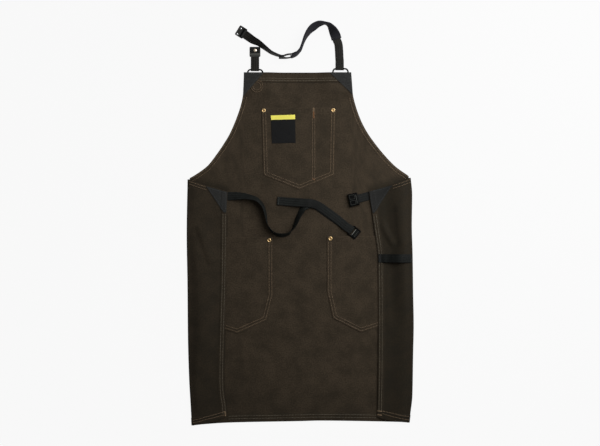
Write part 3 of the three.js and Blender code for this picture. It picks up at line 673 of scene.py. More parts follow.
leftColumns, leftWing = bodySide(leftSide)
rightColumns, rightWing = bodySide(rightSide)
bibColumns = []
for x in np.linspace(leftSide["armhole"][0][0], rightSide["armhole"][0][0], body["bibColumns"])[1:-1]:
    y = bodyRows(float(frontLow(x)), body["bibTop"])
    bibColumns.append(np.stack([np.full_like(y, x), y, frontMiddle(x, y)], 1))
middle = np.array([*leftColumns, *bibColumns, *rightColumns[::-1]])
onWing = np.array([*leftWing, *([False] * len(bibColumns)), *rightWing[::-1]])[:, None]
planX, planY = middle[..., 0], middle[..., 1]
onLeft = planX < 0
onBib = np.abs(middle[:, -1:, 1] - body["bibTop"]) < 0.01


# reading of the left or the right side's table at every point
def bySide(key, at):
    return np.where(onLeft, leftSide[key](at), rightSide[key](at))


# distance to the nearest finished edge, for hems and puckers
armholeLines = [roundPath(side["armhole"]) for side in (leftSide, rightSide)]
(leftGap, leftAlong), (rightGap, rightAlong) = (edgeDistance(middle, line) for line in armholeLines)
far = 999.0  # where a point has no such edge
edgeX = bySide("edgeX", planY)
lowGap = planY - middle[:, :1, 1]
topGap = middle[:, -1:, 1] - planY
freeGap = np.where(onWing, np.abs(planX - edgeX), far)
wingTopGap = np.where(onWing, topGap, far)
# the lower hem and the bib's are deeper than the canvas draws a hem, so their gaps count from further in
lowRidge = np.maximum(lowGap - (body["hemDeep"] - canvasSpec["hemRidge"]), body["unrubbed"])
bibRidge = np.maximum(topGap - (body["bibHemDeep"] - canvasSpec["hemRidge"]), body["unrubbed"])
bibRidge = np.where(onBib, bibRidge, far)
hemGap = np.where(onWing, far, np.minimum(leftGap, rightGap))
hemAlong = np.where(leftGap < rightGap, leftAlong, rightAlong)
for gap, along in ((lowRidge, planX), (freeGap, planY), (wingTopGap, planX), (bibRidge, planX)):
    hemAlong = np.where(gap < hemGap, along, hemAlong)
    hemGap = np.minimum(hemGap, gap)
hemGap = np.maximum(hemGap, 0)

# thickness to either side of the middle, more in the hems
lowHem = hemStep(body["hemDeep"], lowGap)
bibHem = np.where(onBib, hemStep(body["bibHemDeep"], topGap), 0)
wingHem = np.where(onWing, hemStep(body["wingHem"], np.minimum(freeGap, lowGap)), 0)
wingHem = np.maximum(wingHem, lowHem * (freeGap < body["hemClear"]))
aboveFace = body["thick"] / 2 + np.where(onWing, 0, body["hemExtra"] * np.maximum(lowHem, bibHem))
belowFace = body["thick"] / 2 + np.where(onWing, body["hemExtra"] * wingHem, 0)
points, faces = clothWall(middle, aboveFace, belowFace)
points[:, 2] = np.maximum(points[:, 2], 0)
steps = np.cumsum(np.linalg.norm(np.diff(middle, axis=0), axis=2), axis=0)
across = np.concatenate([np.zeros((1, middle.shape[1])), steps])
lay = np.stack([across, planY], -1).reshape(-1, 2)

# tones of the cloth: shares of the way from its face's colour to its reverse's (which also serves for painted
# shade), and where they lie in mm
tone = {
    "wingLight": 0.2, "wingLightMore": 0.27, "wingLightFrom": -330, "wingLightOver": 420, "outsideIn": 1.2, "outsideOver": 2,
    "bibStepShadow": 1.0, "bibStepShadowAt": 0.9, "lowStepShadow": 0.9, "lowStepShadowAt": 0.5, "stepShadowHalf": 1.5, "bibHem": 0.25,
    "lowHem": 0.5, "rim": 0.7, "rimTo": 1.8, "rimOver": 1.2, "low": 0.3, "lowFrom": -300, "lowOver": 110,
    "contactAt": 0.6, "contactHalf": 2.6, "contactFrom": 90, "contactOver": 20,
    "shade": 0.4, "shadeX": -150, "shadeWide": 40, "shadeFrom": -230, "shadeOver": 90,
    "corner": 0.85, "cornerFrom": 160, "cornerOver": 14, "cornerHalf": 24,
}


# painted shade along a line at a place from an edge, eased out over a half width to either side
def shadeLine(gap, place, half):
    return ease(1 - np.abs(gap - place) / half)


# dark rim along an edge
def darkRim(gap):
    return tone["rim"] * ease((tone["rimTo"] - gap) / tone["rimOver"])


# the reverse is dark and the hems turned over it show the face; painted light: the left wing is drawn
# lighter, more towards its top, for how light falls on it
wingLight = tone["wingLight"] + tone["wingLightMore"] * ease((planY - tone["wingLightFrom"]) / tone["wingLightOver"])
wingLight = np.where(onLeft, wingLight, 0)
turnedFace = np.where(onLeft, leftSide["turned"], rightSide["turned"])
turnedHem = np.where(onWing, turnedFace * hemStep(body["wingHem"], freeGap), 0)
# painted shade: the outer side of the fold keeps the full reverse colour, without the painted light
inFold = body["foldReach"] - np.abs(planX - bySide("foldX", planY))
foldShade = np.where(onWing, ease((inFold - tone["outsideIn"]) / tone["outsideOver"]), 0)
darkSide = np.maximum(np.minimum(1 - wingLight, 1 - turnedHem), foldShade)
# the front darkens in its hems and along its edges, towards its lower end, and in a patch low beside the left
# wing; painted shade: shadows below the steps of its hems, a contact shadow beside the wings' free edges, and
# shade just above the wings' top corners
bibMark = np.where(onBib, np.maximum.reduce([
    tone["bibStepShadow"] * shadeLine(topGap, body["bibHemDeep"] + tone["bibStepShadowAt"], tone["stepShadowHalf"]),
    tone["bibHem"] * bibHem, darkRim(topGap)]), 0)
lowMark = np.maximum.reduce([
    tone["lowStepShadow"] * shadeLine(lowGap, body["hemDeep"] + tone["lowStepShadowAt"], tone["stepShadowHalf"]),
    tone["lowHem"] * lowHem, darkRim(lowGap),
    tone["low"] * ease((tone["lowFrom"] - planY) / tone["lowOver"])])
beside = np.where(onLeft, planX - edgeX, edgeX - planX)
# painted contact shadow on the front beside the wings' free edges
contact = np.where(onLeft, leftSide["contact"], rightSide["contact"])
contact = contact * shadeLine(beside, tone["contactAt"], tone["contactHalf"])
contact = contact * ease((tone["contactFrom"] - planY) / tone["contactOver"])
shade = tone["shade"] * np.exp(-((planX - tone["shadeX"]) / tone["shadeWide"]) ** 2)
shade = shade * ease((tone["shadeFrom"] - planY) / tone["shadeOver"])
# painted shade on the front just above the wings' top corners
cornerShade = tone["corner"] * ease((np.abs(planX) - tone["cornerFrom"]) / tone["cornerOver"])
cornerShade = cornerShade * shadeLine(planY, bySide("topY", planX), tone["cornerHalf"])
frontMark = np.maximum.reduce([bibMark, lowMark, contact, shade, cornerShade])
# one mark for both sides of the cloth: the reverse colour, and painted shade on the front
sideMark = np.concatenate([frontMark.ravel(), darkSide.ravel()])
bodyPiece = makePiece(
    "body_cloth", points, faces, waxedCanvas, np.concatenate([lay, lay]),
    {"reverse": sideMark, "hemGap": np.tile(hemGap.ravel(), 2), "hemAlong": np.tile(hemAlong.ravel(), 2)})
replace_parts(bodyPiece, "body_panel")


# cloth laid on a support: rows run straight from a left edge to a right edge, both given from low to high
def layCloth(leftEdge, rightEdge, rows, columns, thick, support):
    left, right = (np.array(edge, float) for edge in (leftEdge, rightEdge))
    place = np.linspace(0, len(left) - 1, rows * (len(left) - 1) + 1)
    knots = np.arange(len(left))
    ends = [np.stack([np.interp(place, knots, edge[:, k]) for k in (0, 1)], 1) for edge in (left, right)]
    share = np.linspace(0, 1, columns + 1)[:, None, None]
    plan = ends[0][None] * (1 - share) + ends[1][None] * share
    high = support(plan[..., 0], plan[..., 1]) + body["gap"] + thick / 2
    middle = np.concatenate([plan, high[..., None]], -1)
    outline = np.concatenate([ends[0], ends[1][::-1], ends[0][:1]])
    return middle, outline


# a sewn-on cloth as a piece: wall and hem marks
def makeCloth(name, node, middle, outline, thick, material, dark=0.0):
    points, faces = clothWall(middle, thick / 2, thick / 2)
    gap, along = edgeDistance(middle, outline)
    lay = np.tile(middle[..., :2].reshape(-1, 2), (2, 1))
    piece = makePiece(name, points, faces, material, lay, {
        "reverse": np.full(len(points), dark), "hemGap": np.tile(gap.ravel(), 2),
        "hemAlong": np.tile(along.ravel(), 2)})
    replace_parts(piece, node)


# pockets: pointed below, a little slack at the mouth (a squared sine across times an eased step up)
pockets = {
    "thick": 1.2, "rows": 26, "columns": 40, "slack": 0.9, "slackDeep": 110, "slackOver": 100,
    "chest_pocket": {
        "left": [(1.2, 140.9), (-83.8, 175.2), (-88.3, 336.5)],
        "right": [(3.2, 140.9), (85.7, 175.2), (89, 336.5)],
        "mouth": 336.5, "slackFrom": (-60, 20)},
    "hand_pocket_left": {
        "left": [(-148.1, -204), (-246, -173), (-248, -112.8), (-248, 26.4)],
        "right": [(-146.1, -204), (-76.1, -172.8), (-61.2, -112.8), (-61.4, 26.4)],
        "mouth": 26.4, "slackFrom": (-160, -75)},
    "hand_pocket_right": {
        "left": [(149.2, -201.6), (82.8, -168.2), (68.9, -103.2), (68.9, 28.8)],
        "right": [(151.2, -201.6), (250, -168.6), (254, -103.2), (254, 28.8)],
        "mouth": 28.8, "slackFrom": (84, 176)},
}


# height that a pocket rests on, with its slack
def pocketSupport(spec):
    start, end = spec["slackFrom"]

    def at(x, y):
        across = np.sin(math.pi * np.clip((x - start) / (end - start), 0, 1)) ** 2
        upward = ease((y - spec["mouth"] + pockets["slackDeep"]) / pockets["slackOver"])
        return frontTop(x, y) + pockets["slack"] * across * upward

    return at


# height of a pocket's upper side
def pocketTop(spec):
    support = pocketSupport(spec)
    return lambda x, y: support(x, y) + body["gap"] + pockets["thick"]


for name in ("chest_pocket", "hand_pocket_left", "hand_pocket_right"):
    spec = pockets[name]
    middle, outline = layCloth(
        spec["left"], spec["right"], pockets["rows"], pockets["columns"], pockets["thick"],
        pocketSupport(spec))
    makeCloth(name + "_cloth", name, middle, outline, pockets["thick"], waxedCanvas)
print("pockets ready")


# highest cloth close round a place, for pieces that bridge a step in it
def coverTop(top, near):
    ways = [(dx, dy) for dx in (-near, 0, near) for dy in (-near, 0, near)]
    return lambda x, y: np.max([top(x + dx, y + dy) for dx, dy in ways], axis=0)


def leftWingTop(x, y):
    return wingTopAt(leftSide, x, y)


def rightWingTop(x, y):
    return wingTopAt(rightSide, x, y)


# grey corner patches
patches = {
    "thick": 1.0, "rows": 28, "columns": 24, "near": 1.2, "seam": 2.6,
    "dark": {"hip_corner_patch_left": 0.1, "hip_corner_patch_right": 1.0},
}
patchPlans = {
    "bib_corner_patch_left": ([(-132, 366), (-130.4, 420.4)], [(-130, 366), (-83, 420.4)], frontTop),
    "bib_corner_patch_right": ([(127.6, 369.6), (74.6, 420.4)], [(129.6, 369.6), (125.8, 420.4)], frontTop),
    "hip_corner_patch_left": (
        [(-178.4, 85.2), (-186.5, 95), (-195.1, 109.4), (-221.5, 148)],
        [(-173.2, 85.2), (-172.4, 96), (-171.8, 110), (-171.2, 134.4)], leftWingTop),
    "hip_corner_patch_right": (
        [(177.6, 84), (176.2, 92), (173.6, 106), (169.6, 135.6)],
        [(181.2, 84), (187.7, 92), (195.8, 106), (224.4, 150.6)], rightWingTop),
}
patchSupports = {}
for name, (leftEdge, rightEdge, top) in patchPlans.items():
    patchSupports[name] = coverTop(top, patches["near"])
    middle, outline = layCloth(
        leftEdge, rightEdge, patches["rows"] // (len(leftEdge) - 1), patches["columns"], patches["thick"],
        patchSupports[name])
    makeCloth(
        name + "_cloth", name, middle, outline, patches["thick"], greyCanvas,
        patches["dark"].get(name, 0.0))


# height of the upper side of a patch on its support
def patchTop(support):
    return lambda x, y: support(x, y) + body["gap"] + patches["thick"]


# inner edge of the left bib patch
def patchEdgeAt(y):
    low, high = patchPlans["bib_corner_patch_left"][1]
    return np.interp(y, (low[1], high[1]), (low[0], high[0]))


# stitched round beside the left bib patch, cut where the patch covers it: rows of a circle
roundTab = {
    "x": -99.4, "y": 387.6, "radius": 15.5, "ends": 0.985, "steps": 36, "columns": 18, "clear": 0.6,
    "least": 1.4, "stitches": (14.2, 9.6), "stitchClear": 1.5,
}
rowTurn = np.linspace(-math.pi / 2, math.pi / 2, roundTab["steps"] + 1)
high = roundTab["radius"] * roundTab["ends"] * np.sin(rowTurn)
half = np.sqrt(roundTab["radius"] ** 2 - high ** 2)
patchEdge = patchEdgeAt(roundTab["y"] + high) + roundTab["clear"]
shown = roundTab["x"] + half > patchEdge + roundTab["least"]
roundLeft = np.stack([np.maximum(roundTab["x"] - half, patchEdge), roundTab["y"] + high], 1)[shown]
roundRight = np.stack([roundTab["x"] + half, roundTab["y"] + high], 1)[shown]
roundSupport = coverTop(frontTop, patches["near"])
middle, outline = layCloth(roundLeft, roundRight, 1, roundTab["columns"], patches["thick"], roundSupport)
makeCloth("round_tab_cloth", "round_tab", middle, outline, patches["thick"], waxedCanvas)
print("patches ready")

# blank woven patch: a black field with a yellow band above, edges folded under (an eased fall near the edge)
label = {
    "left": [(-63.5, 250.6), (-65.8, 307.2), (-66.3, 317.8)],
    "right": [(-6.7, 252.2), (-8.0, 308.7), (-8.3, 319.5)],
    "thick": 0.8, "rows": 20, "columns": 30, "bandRow": 20, "fold": 1.2, "rim": 0.45,
}
middle, outline = layCloth(
    label["left"], label["right"], label["rows"], label["columns"], label["thick"],
    pocketTop(pockets["chest_pocket"]))
edgeGap = edgeDistance(middle, outline)[0]
rim = label["rim"] + (1 - label["rim"]) * ease(edgeGap / label["fold"])
points, faces = clothWall(middle, label["thick"] / 2 * rim, label["thick"] / 2)
lay = np.tile(middle[..., :2].reshape(-1, 2), (2, 1))
labelPiece = makePiece("woven_patch_cloth", points, faces, satinLabel, lay)
labelPiece.data.materials.append(satinBand)
rowCount = (len(label["left"]) - 1) * label["rows"]
upperRows = np.tile(np.arange(rowCount) >= label["bandRow"], label["columns"])
slots = np.zeros(len(labelPiece.data.polygons), np.int32)
slots[:len(upperRows)] = upperRows
labelPiece.data.polygons.foreach_set("material_index", slots)
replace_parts(labelPiece, "woven_patch")
print("woven patch ready")

# webbing
web = {"wide": 20.0, "thick": 1.2, "edge": 0.5, "step": 1.6, "closeStep": 0.6, "turnSteps": 13, "gap": 0.3}
onCloth = body["thick"] + web["gap"]


# webbing laid along plan rows of (x, y, roll, base): roll tips it on edge, base is the height it stands on
def layRun(rows, hand=1, wide=web["wide"], thick=web["thick"]):
    path = roundPath(rows, 12)
    run = unit(np.gradient(path[:, :2], axis=0))
    roll = np.radians(path[:, 2])
    across = np.stack([run[:, 1] * np.cos(roll), -run[:, 0] * np.cos(roll), np.sin(roll)], 1) * hand
    high = path[:, 3] + (thick * np.abs(np.cos(roll)) + wide * np.abs(np.sin(roll))) / 2
    return np.column_stack([path[:, :2], high, across])


# half turn round a bar from below to above it: a half circle in the upright plane of the run
def halfTurn(centre, run, radius, across):
    turn = np.linspace(-math.pi / 2, math.pi / 2, web["turnSteps"])
    at = np.asarray(centre) + radius * np.cos(turn)[:, None] * np.asarray(run)
    at[:, 2] += radius * np.sin(turn)
    return np.column_stack([at, np.tile(across, (len(turn), 1))])


# band with rounded edges along rows of (x, y, z, across), as a piece; gives back the piece, its rows and its
# length
def makeBand(
        name, node, rows, material, wide=web["wide"], thick=web["thick"], edge=web["edge"],
        step=web["step"], webShade=None):
    rows = evenPath(np.asarray(rows, float), step, axes=3)
    run = unit(np.gradient(rows[:, :3], axis=0))
    across = unit(rows[:, 3:] - (rows[:, 3:] * run).sum(1, keepdims=True) * run)
    profile = roundedRing(wide / 2, thick / 2, min(edge, thick / 2 - 0.02))
    points, faces = carryProfile(rows[:, :3], across, np.cross(across, run), profile)
    length = lengthAlong(rows[:, :3])
    lay = np.stack(np.broadcast_arrays(profile[None, :, 0], length[:, None]), -1).reshape(-1, 2)
    marks = {"webShade": np.repeat(np.interp(length, *np.transpose(webShade)), len(profile))} if webShade else {}
    piece = makePiece(name, points, faces, material, lay, marks)
    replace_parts(piece, node)
    return piece, rows, float(length[-1])


# rings behind the bib corners: a rounded D of wire, and the keepers round their lower bars
ring = {
    "wire": 1.9, "barLow": 405.5, "barTop": 429.5, "leftDrop": 2.2, "level": 3.4, "loop": 2.8, "keeper": 18,
    "left": -103.9, "right": 100.6,
    "plan": [
        (-14.5, 0), (0, 0), (14.5, 0), (18.5, 4), (18.5, 13), (17.2, 20), (12.5, 24), (0, 24),
        (-12.5, 24), (-17.2, 20), (-18.5, 13), (-18.5, 4)],
}
turn = np.linspace(0, 2 * math.pi, 13)[:-1]
wireRound = ring["wire"] * np.stack([np.cos(turn), np.sin(turn)], 1)
plan = np.array(ring["plan"], float)
# rounded with two points more at either end, which are cut off again, so that the loop closes smoothly
loopPlan = evenPath(roundPath(np.concatenate([plan[-2:], plan, plan[:2]]), 8)[16:-8], 1.0)[:-1]
for side in ("left", "right"):
    x = ring[side]
    low = ring["barLow"] - (ring["leftDrop"] if side == "left" else 0)
    path = np.column_stack([loopPlan + (x, low), np.full(len(loopPlan), ring["level"])])
    run = unit(np.roll(path, -1, 0) - np.roll(path, 1, 0))
    up = np.tile((0.0, 0.0, 1.0), (len(path), 1))
    points, faces = carryProfile(path, np.cross(run, up), up, wireRound, closed=True)
    wirePiece = makePiece("d_ring_wire_" + side, points, faces, blackWire)
    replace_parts(wirePiece, "d_ring_" + side)
    ends = [[x, low - ring["keeper"], ring["level"] + sign * ring["loop"], 1, 0, 0] for sign in (-1, 1)]
    barTurn = halfTurn((x, low, ring["level"]), (0, 1, 0), ring["loop"], (1, 0, 0))
    makeBand(
        "ring_keeper_web_" + side, "ring_keeper_" + side, [ends[0], *barTurn, ends[1]], neckWeb,
        step=web["closeStep"])

# short webbing on the left ring
socket = {"x": -104.4, "low": 458.4, "high": 482.4}
tabLevels = (web["thick"] / 2, web["thick"] * 1.5 + 2 * web["gap"])
tabEnd = socket["low"] - web["gap"]
tabBar = ring["barTop"] - ring["leftDrop"]
makeBand("neck_tab_web", "neck_tab", [
    [socket["x"], tabEnd, tabLevels[0], -1, 0, 0],
    *halfTurn((socket["x"], tabBar, ring["level"]), (0, -1, 0), ring["loop"], (-1, 0, 0)),
    [socket["x"], tabBar + 4, ring["level"] + ring["loop"], -1, 0, 0],
    [socket["x"], tabBar + 18, tabLevels[1], -1, 0, 0],
    [socket["x"], tabEnd, tabLevels[1], -1, 0, 0]], neckWeb, step=web["closeStep"])

# neck strap from the right ring to the pad, the pad, and the far end of the strap
neck = {
    "x": 98.6, "tail": 16, "padWide": 24.5, "padThick": 4.5, "padEdge": 1.6,
    "right": [
        (98.6, 433.5, 0, 5.6), (98.6, 449.5, 0, 1.8), (98.1, 456, 0, 0.4), (97.2, 475.2, 0, 0),
        (95.5, 489.6, 0, 0.8), (91.7, 499.1, 0, 1.6), (89.6, 506, 0, 1.65)],
    "pad": [
        (91.2, 500.8, 0, 0), (88.8, 508.6, 8, 0), (84.2, 518.6, 36, 0), (78.9, 526.9, 57, 0),
        (72.8, 533.6, 76, 0), (64.2, 537.6, 89, 0), (56, 537.6, 78, 0), (47, 535.6, 66, 0),
        (35.7, 528.6, 56, 0), (25.6, 519.2, 66, 0), (16.8, 505.4, 78, 0), (11.6, 493.2, 85, 0),
        (7.6, 482.1, 86, 0), (4.7, 475.2, 85, 0), (0.4, 469.6, 84, 0), (-4.4, 464.4, 83, 0),
        (-9.5, 460.8, 84, 0), (-15, 458, 87, 0), (-18.6, 456.7, 89, 0)],
    "padTab": [
        (-12, 459.6, 90, 1.2), (-15.6, 457.6, 90, 1), (-19, 456.2, 90, 0.5), (-22.6, 455.3, 90, 0),
        (-28.7, 454.7, 88, 0), (-36, 455.1, 84, 0), (-47, 455.5, 82, 0)],
    "left": [
        (-4.4, 469, -90, 1.5), (-7.2, 468, -90, 1.5), (-11.5, 466.2, -90, 1), (-17, 464.2, -91, 0.5),
        (-24, 463.5, -92, 0), (-30, 462.2, -92, 0), (-36, 460, -93, 0), (-42, 459.6, -97, 0),
        (-50, 461.6, -103, 0), (-58, 464.8, -106, 0), (-67.2, 469.4, -110, 0), (-81.6, 480.5, -119, 0),
        (-96, 491.4, -131, 0), (-110.4, 499.2, -152, 0), (-127.5, 511.6, -177, 0.8),
        (-133, 515.2, -180, 1.1)],
}
neckRows = makeBand("neck_strap_web", "neck_strap", [
    [neck["x"], ring["barTop"] + neck["tail"], web["thick"] / 2, 1, 0, 0],
    *halfTurn((neck["x"], ring["barTop"], ring["level"]), (0, -1, 0), ring["loop"], (1, 0, 0)),
    *layRun(neck["right"])], neckWeb, step=web["closeStep"])[1]
padPiece, padRows, padLong = makeBand(
    "neck_pad_cloth", "neck_pad", layRun(neck["pad"], wide=neck["padWide"], thick=neck["padThick"]),
    knitPad, neck["padWide"], neck["padThick"], neck["padEdge"])
makeBand("neck_pad_tab_web", "neck_pad_tab", layRun(neck["padTab"]), neckWeb)
makeBand("neck_strap_end_web", "neck_strap_end", layRun(neck["left"]), neckWeb)
print("neck straps ready, pad", round(padLong), "mm")

# waist strap: out from under the left wing, on edge through a bend, flat to the buckle, back as a loose tail
male = {
    "x": 133.5, "y": 37.3, "turn": math.radians(-38.7), "long": 23.4, "wide": 26.0, "thick": 3.0,
    "bar": 4.0, "slot": 5.4, "slotHalf": 10.6, "base": onCloth + web["thick"] + web["gap"],
}
waist = {
    "out": [
        (-200, 124.4, 0), (-169.9, 124.3, 0), (-156, 124.4, 10), (-145.2, 124.5, 26), (-130.8, 124.2, 42),
        (-116.4, 121.8, 54), (-102, 117.6, 62), (-92, 109.8, 68), (-85, 100.6, 72), (-81, 90, 74),
        (-78, 78, 77), (-75.4, 62, 86), (-71.2, 50.6, 97), (-64.6, 41, 103), (-54, 33.6, 110),
        (-42, 30.4, 116), (-30, 31.8, 111), (-21, 36.6, 102), (-13.4, 45.6, 80), (-7.4, 57.2, 66),
        (-2.4, 70, 59), (3.2, 81, 55), (11, 95, 43), (20, 102.5, 20), (29, 106, 8), (41, 103, 2),
        (55, 93.6, 0), (84, 73, 0), (112, 53, 0)],
    "back": [
        (112, 53, 6.1), (98, 65, 3.7), (85, 75, 3.1), (57.5, 95, 3.3), (45.5, 102.2, 5.7), (34, 106.4, 9),
        (23, 108, 11.4), (10, 108.6, 11), (-5, 109.6, 8.6), (-20, 110.6, 6), (-36, 111.8, 4), (-51, 113, 3)],
    # painted shade along the strap, as (mm along it, share darker), where it leans away from the light
    "webShade": [
        (0, 0.25), (84, 0.25), (99, 0), (125, 0.1), (147, 0.1), (160, 0), (310, 0), (330, 0.4),
        (445, 0.4), (462, 0.4), (486, 0.2), (503, 0.1), (522, 0.3), (537, 0.4), (551, 0.9), (566, 0.9),
        (580, 0.7), (592, 0.2), (607, 0)],
}
maleRun = np.array([math.cos(male["turn"]), math.sin(male["turn"]), 0])
maleAcross = np.array([maleRun[1], -maleRun[0], 0])
barAt = np.array([male["x"], male["y"], male["base"] + male["thick"] / 2])
barAt = barAt + maleRun * (male["bar"] - web["gap"] - male["long"] / 2)
outRows = layRun([
    (x, y, roll, onCloth + float(clothWave(np.float64(x), np.float64(y)))) for x, y, roll in waist["out"]])
backRows = layRun([(x, y, 0, base) for x, y, base in waist["back"]], hand=-1)
barTurn = halfTurn(barAt, maleRun, (male["thick"] + web["thick"]) / 2 + web["gap"], maleAcross)
waistRows, waistLong = makeBand(
    "waist_strap_web", "waist_strap", np.concatenate([outRows, barTurn, backRows]), waistWeb,
    webShade=waist["webShade"])[1:]

# short webbing from under the right wing into the other half of the buckle
female = {"x": 132.2, "y": 116.0, "turn": math.radians(11.4), "long": 23.4, "high": 7.5, "holeLow": 1.9}
inSleeve = onCloth + female["holeLow"] + web["gap"]
# the tab is drawn darker along its length: painted shade
makeBand("waist_tab_web", "waist_tab", layRun([
    (138.5, 117.3, 0, inSleeve), (144.5, 118.5, 0, inSleeve), (156, 121.4, 0, onCloth + 0.8),
    (169, 124.8, 0, onCloth), (198, 130.5, 0, onCloth)]), waistWeb, webShade=[(0, 0.5), (60, 0.4)])
print("waist strap ready", round(waistLong), "mm")

# tool loop across the right wing: bowed up by a flattened sine between its sewn ends
loop = {
    "y": -24.6, "start": 191.6, "end": 270.6, "bow": 5.6, "blunt": 0.8, "flat": 7.0, "near": 6.0,
    "points": 60,
}
x = np.linspace(loop["start"], loop["end"], loop["points"])
free = np.clip((x - loop["start"] - loop["flat"]) / (loop["end"] - loop["start"] - 2 * loop["flat"]), 0, 1)
loopCover = coverTop(rightWingTop, loop["near"])
sides = (-web["wide"] / 2, 0, web["wide"] / 2)
under = np.max([loopCover(x, np.full_like(x, loop["y"] + off)) for off in sides], axis=0)
bow = loop["bow"] * np.sin(math.pi * free) ** loop["blunt"]
loopHigh = under + web["gap"] + web["thick"] / 2 + bow
loopRows = np.column_stack([x, np.full_like(x, loop["y"]), loopHigh, np.tile((0, -1, 0), (len(x), 1))])
makeBand("tool_loop_web", "tool_loop", loopRows, loopWeb)
print("tool loop ready")

# hardware


# plate from rounded outlines: rings of (half width, half height, radius, shift, level), joined round, and
# capped, or closed from the last ring to the first
def stackRings(rings, closed):
    points = np.concatenate([
        np.column_stack([roundedRing(halfX, halfY, radius) + (shiftX, 0), np.full(ringCount, level)])
        for halfX, halfY, radius, shiftX, level in rings])
    index = ringIndex(len(rings), ringCount)
    if closed:
        return points, [gridQuads(np.concatenate([index, index[:1]]))[:, ::-1]]
    return points, [gridQuads(index)[:, ::-1], index[:1, -2::-1], index[-1:, :-1]]


# four rings up the eased rims of a plate
def plateRings(halfX, halfY, radius, low, high, rim):
    inner = max(radius - rim, 0.2)
    return [
        (halfX - rim, halfY - rim, inner, 0, low), (halfX, halfY, radius, 0, low + rim),
        (halfX, halfY, radius, 0, high - rim), (halfX - rim, halfY - rim, inner, 0, high)]


# solid plate with eased rims
def solidPlate(halfX, halfY, radius, low, high, rim):
    return stackRings(plateRings(halfX, halfY, radius, low, high, rim), False)


# plate with one rounded window, rims eased inside and out
def framePlate(halfX, halfY, radius, windowX, windowY, windowRadius, low, high, rim, shift=0.0):
    wide = (windowX + rim, windowY + rim, windowRadius + rim, shift)
    narrow = (windowX, windowY, windowRadius, shift)
    window = [(*wide, high), (*narrow, high - rim), (*narrow, low + rim), (*wide, low)]
    return stackRings([*plateRings(halfX, halfY, radius, low, high, rim), *window], True)


# several closed shells as one, each turned about the upright axis and moved, with its share of painted
# highlight
def joinShells(shells):
    points, faces, marks, start = [], [], [], 0
    for (shell, blocks), turn, move, wearAndHighlight in shells:
        cos, sin = math.cos(turn), math.sin(turn)
        spin = np.array([[cos, sin, 0], [-sin, cos, 0], [0, 0, 1]])
        points.append(shell @ spin + np.asarray(move, float))
        faces += [block + start for block in blocks]
        marks.append(np.full(len(shell), wearAndHighlight))
        start += len(shell)
    return np.concatenate(points), faces, {"wearAndHighlight": np.concatenate(marks)}


def makeMoulding(name, node, shells):
    points, faces, marks = joinShells(shells)
    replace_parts(makePiece(name, points, faces, blackAcetal, marks=marks, sharp=30), node)


# turned piece: a profile of (radius, level, hollow) carried round the upright axis, capped, set on a place
def makeTurned(name, node, profile, place, material, segments=28):
    angle = np.linspace(0, 2 * math.pi, segments + 1)[:-1]
    radius, level, hollow = np.array(profile, float).T[..., None]
    points = np.stack([radius * np.cos(angle), radius * np.sin(angle), np.repeat(level, segments, 1)], -1)
    points = points.reshape(-1, 3) + np.asarray(place, float)
    index = ringIndex(len(profile), segments)
    faces = [gridQuads(index)[:, ::-1], index[:1, -2::-1], index[-1:, :-1]]
    marks = {"hollow": np.repeat(hollow, segments)}
    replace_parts(makePiece(name, points, faces, material, marks=marks), node)


# lower half of the neck clip: a plate, a raised field under the stud, a bar drawn pale as painted highlight
# where the webbing goes in
at = np.array((socket["x"], (socket["low"] + socket["high"]) / 2, 0))
makeMoulding("neck_clip_socket_plate", "neck_clip_socket", [
    (solidPlate(13, 12, 2.6, 0, 4.2, 0.7), 0, at, 0.2),
    (solidPlate(12.2, 7.4, 2.0, 4.0, 5.0, 0.4), 0, at + (0, 3.9, 0), 0.06),
    (solidPlate(12.4, 0.9, 0.7, 3.9, 5.0, 0.4), 0, at + (0, -5.6, 0), 0.55),
])
studProfile = [
    (1.4, 0, 0), (3.4, 0, 0), (3.9, 0.35, 0), (3.9, 0.8, 0), (3.4, 1.3, 0), (2.4, 1.65, 0), (1.2, 1.8, 0),
    (0.3, 1.82, 0.1)]
makeTurned("clip_stud_head", "clip_stud", studProfile, (-103.9, 473.8, 5.2), paleBrass)

# upper half: a plate with a ridge and a bar drawn pale as painted highlight over the webbing end, and a pair
# of rivets
clip = {"x": -137.5, "y": 518.2, "turn": math.radians(-32), "long": 21.0, "wide": 26.0}
spot = (clip["x"], clip["y"], 0)
clipRun = np.array([math.cos(clip["turn"]), math.sin(clip["turn"]), 0])
makeMoulding("neck_clip_plate_body", "neck_clip_plate", [
    (solidPlate(clip["long"] / 2, clip["wide"] / 2, 2.4, 0, 2.9, 0.6), clip["turn"], spot, 0.06),
    (solidPlate(5.2, 11.8, 1.4, 2.7, 3.1, 0.3), clip["turn"], spot - clipRun * 4.6, 0.12),
    (solidPlate(0.9, 11.6, 0.8, 2.7, 3.5, 0.3), clip["turn"], spot + clipRun * 7.6, 0.15),
    (solidPlate(1.6, 11.0, 0.7, 2.7, 3.4, 0.3), clip["turn"], spot + clipRun * 3.4, 0.0),
])
rivetProfile = [
    (0.8, 0, 0), (2.1, 0, 0), (2.4, 0.25, 0), (2.2, 0.6, 0), (1.6, 0.85, 0), (0.7, 0.92, 0), (0.2, 0.93, 0)]
for number, (x, y) in enumerate(((-138.0, 526.2), (-146.9, 513.6)), 1):
    makeTurned(
        f"clip_rivet_head_{number}", f"clip_rivet_{number}", rivetProfile, (x, y, 3.2), nickel)

# male half of the waist buckle: a frame whose rear bar carries the strap, a ribbed grip in front
turn, spot = male["turn"], np.array([male["x"], male["y"], male["base"]])
half = male["long"] / 2
window = male["bar"] + male["slot"] / 2 - half
maleFrame = framePlate(
    half, male["wide"] / 2, 3.4, male["slot"] / 2, male["slotHalf"], 0.8, 0, male["thick"], 0.5, window)
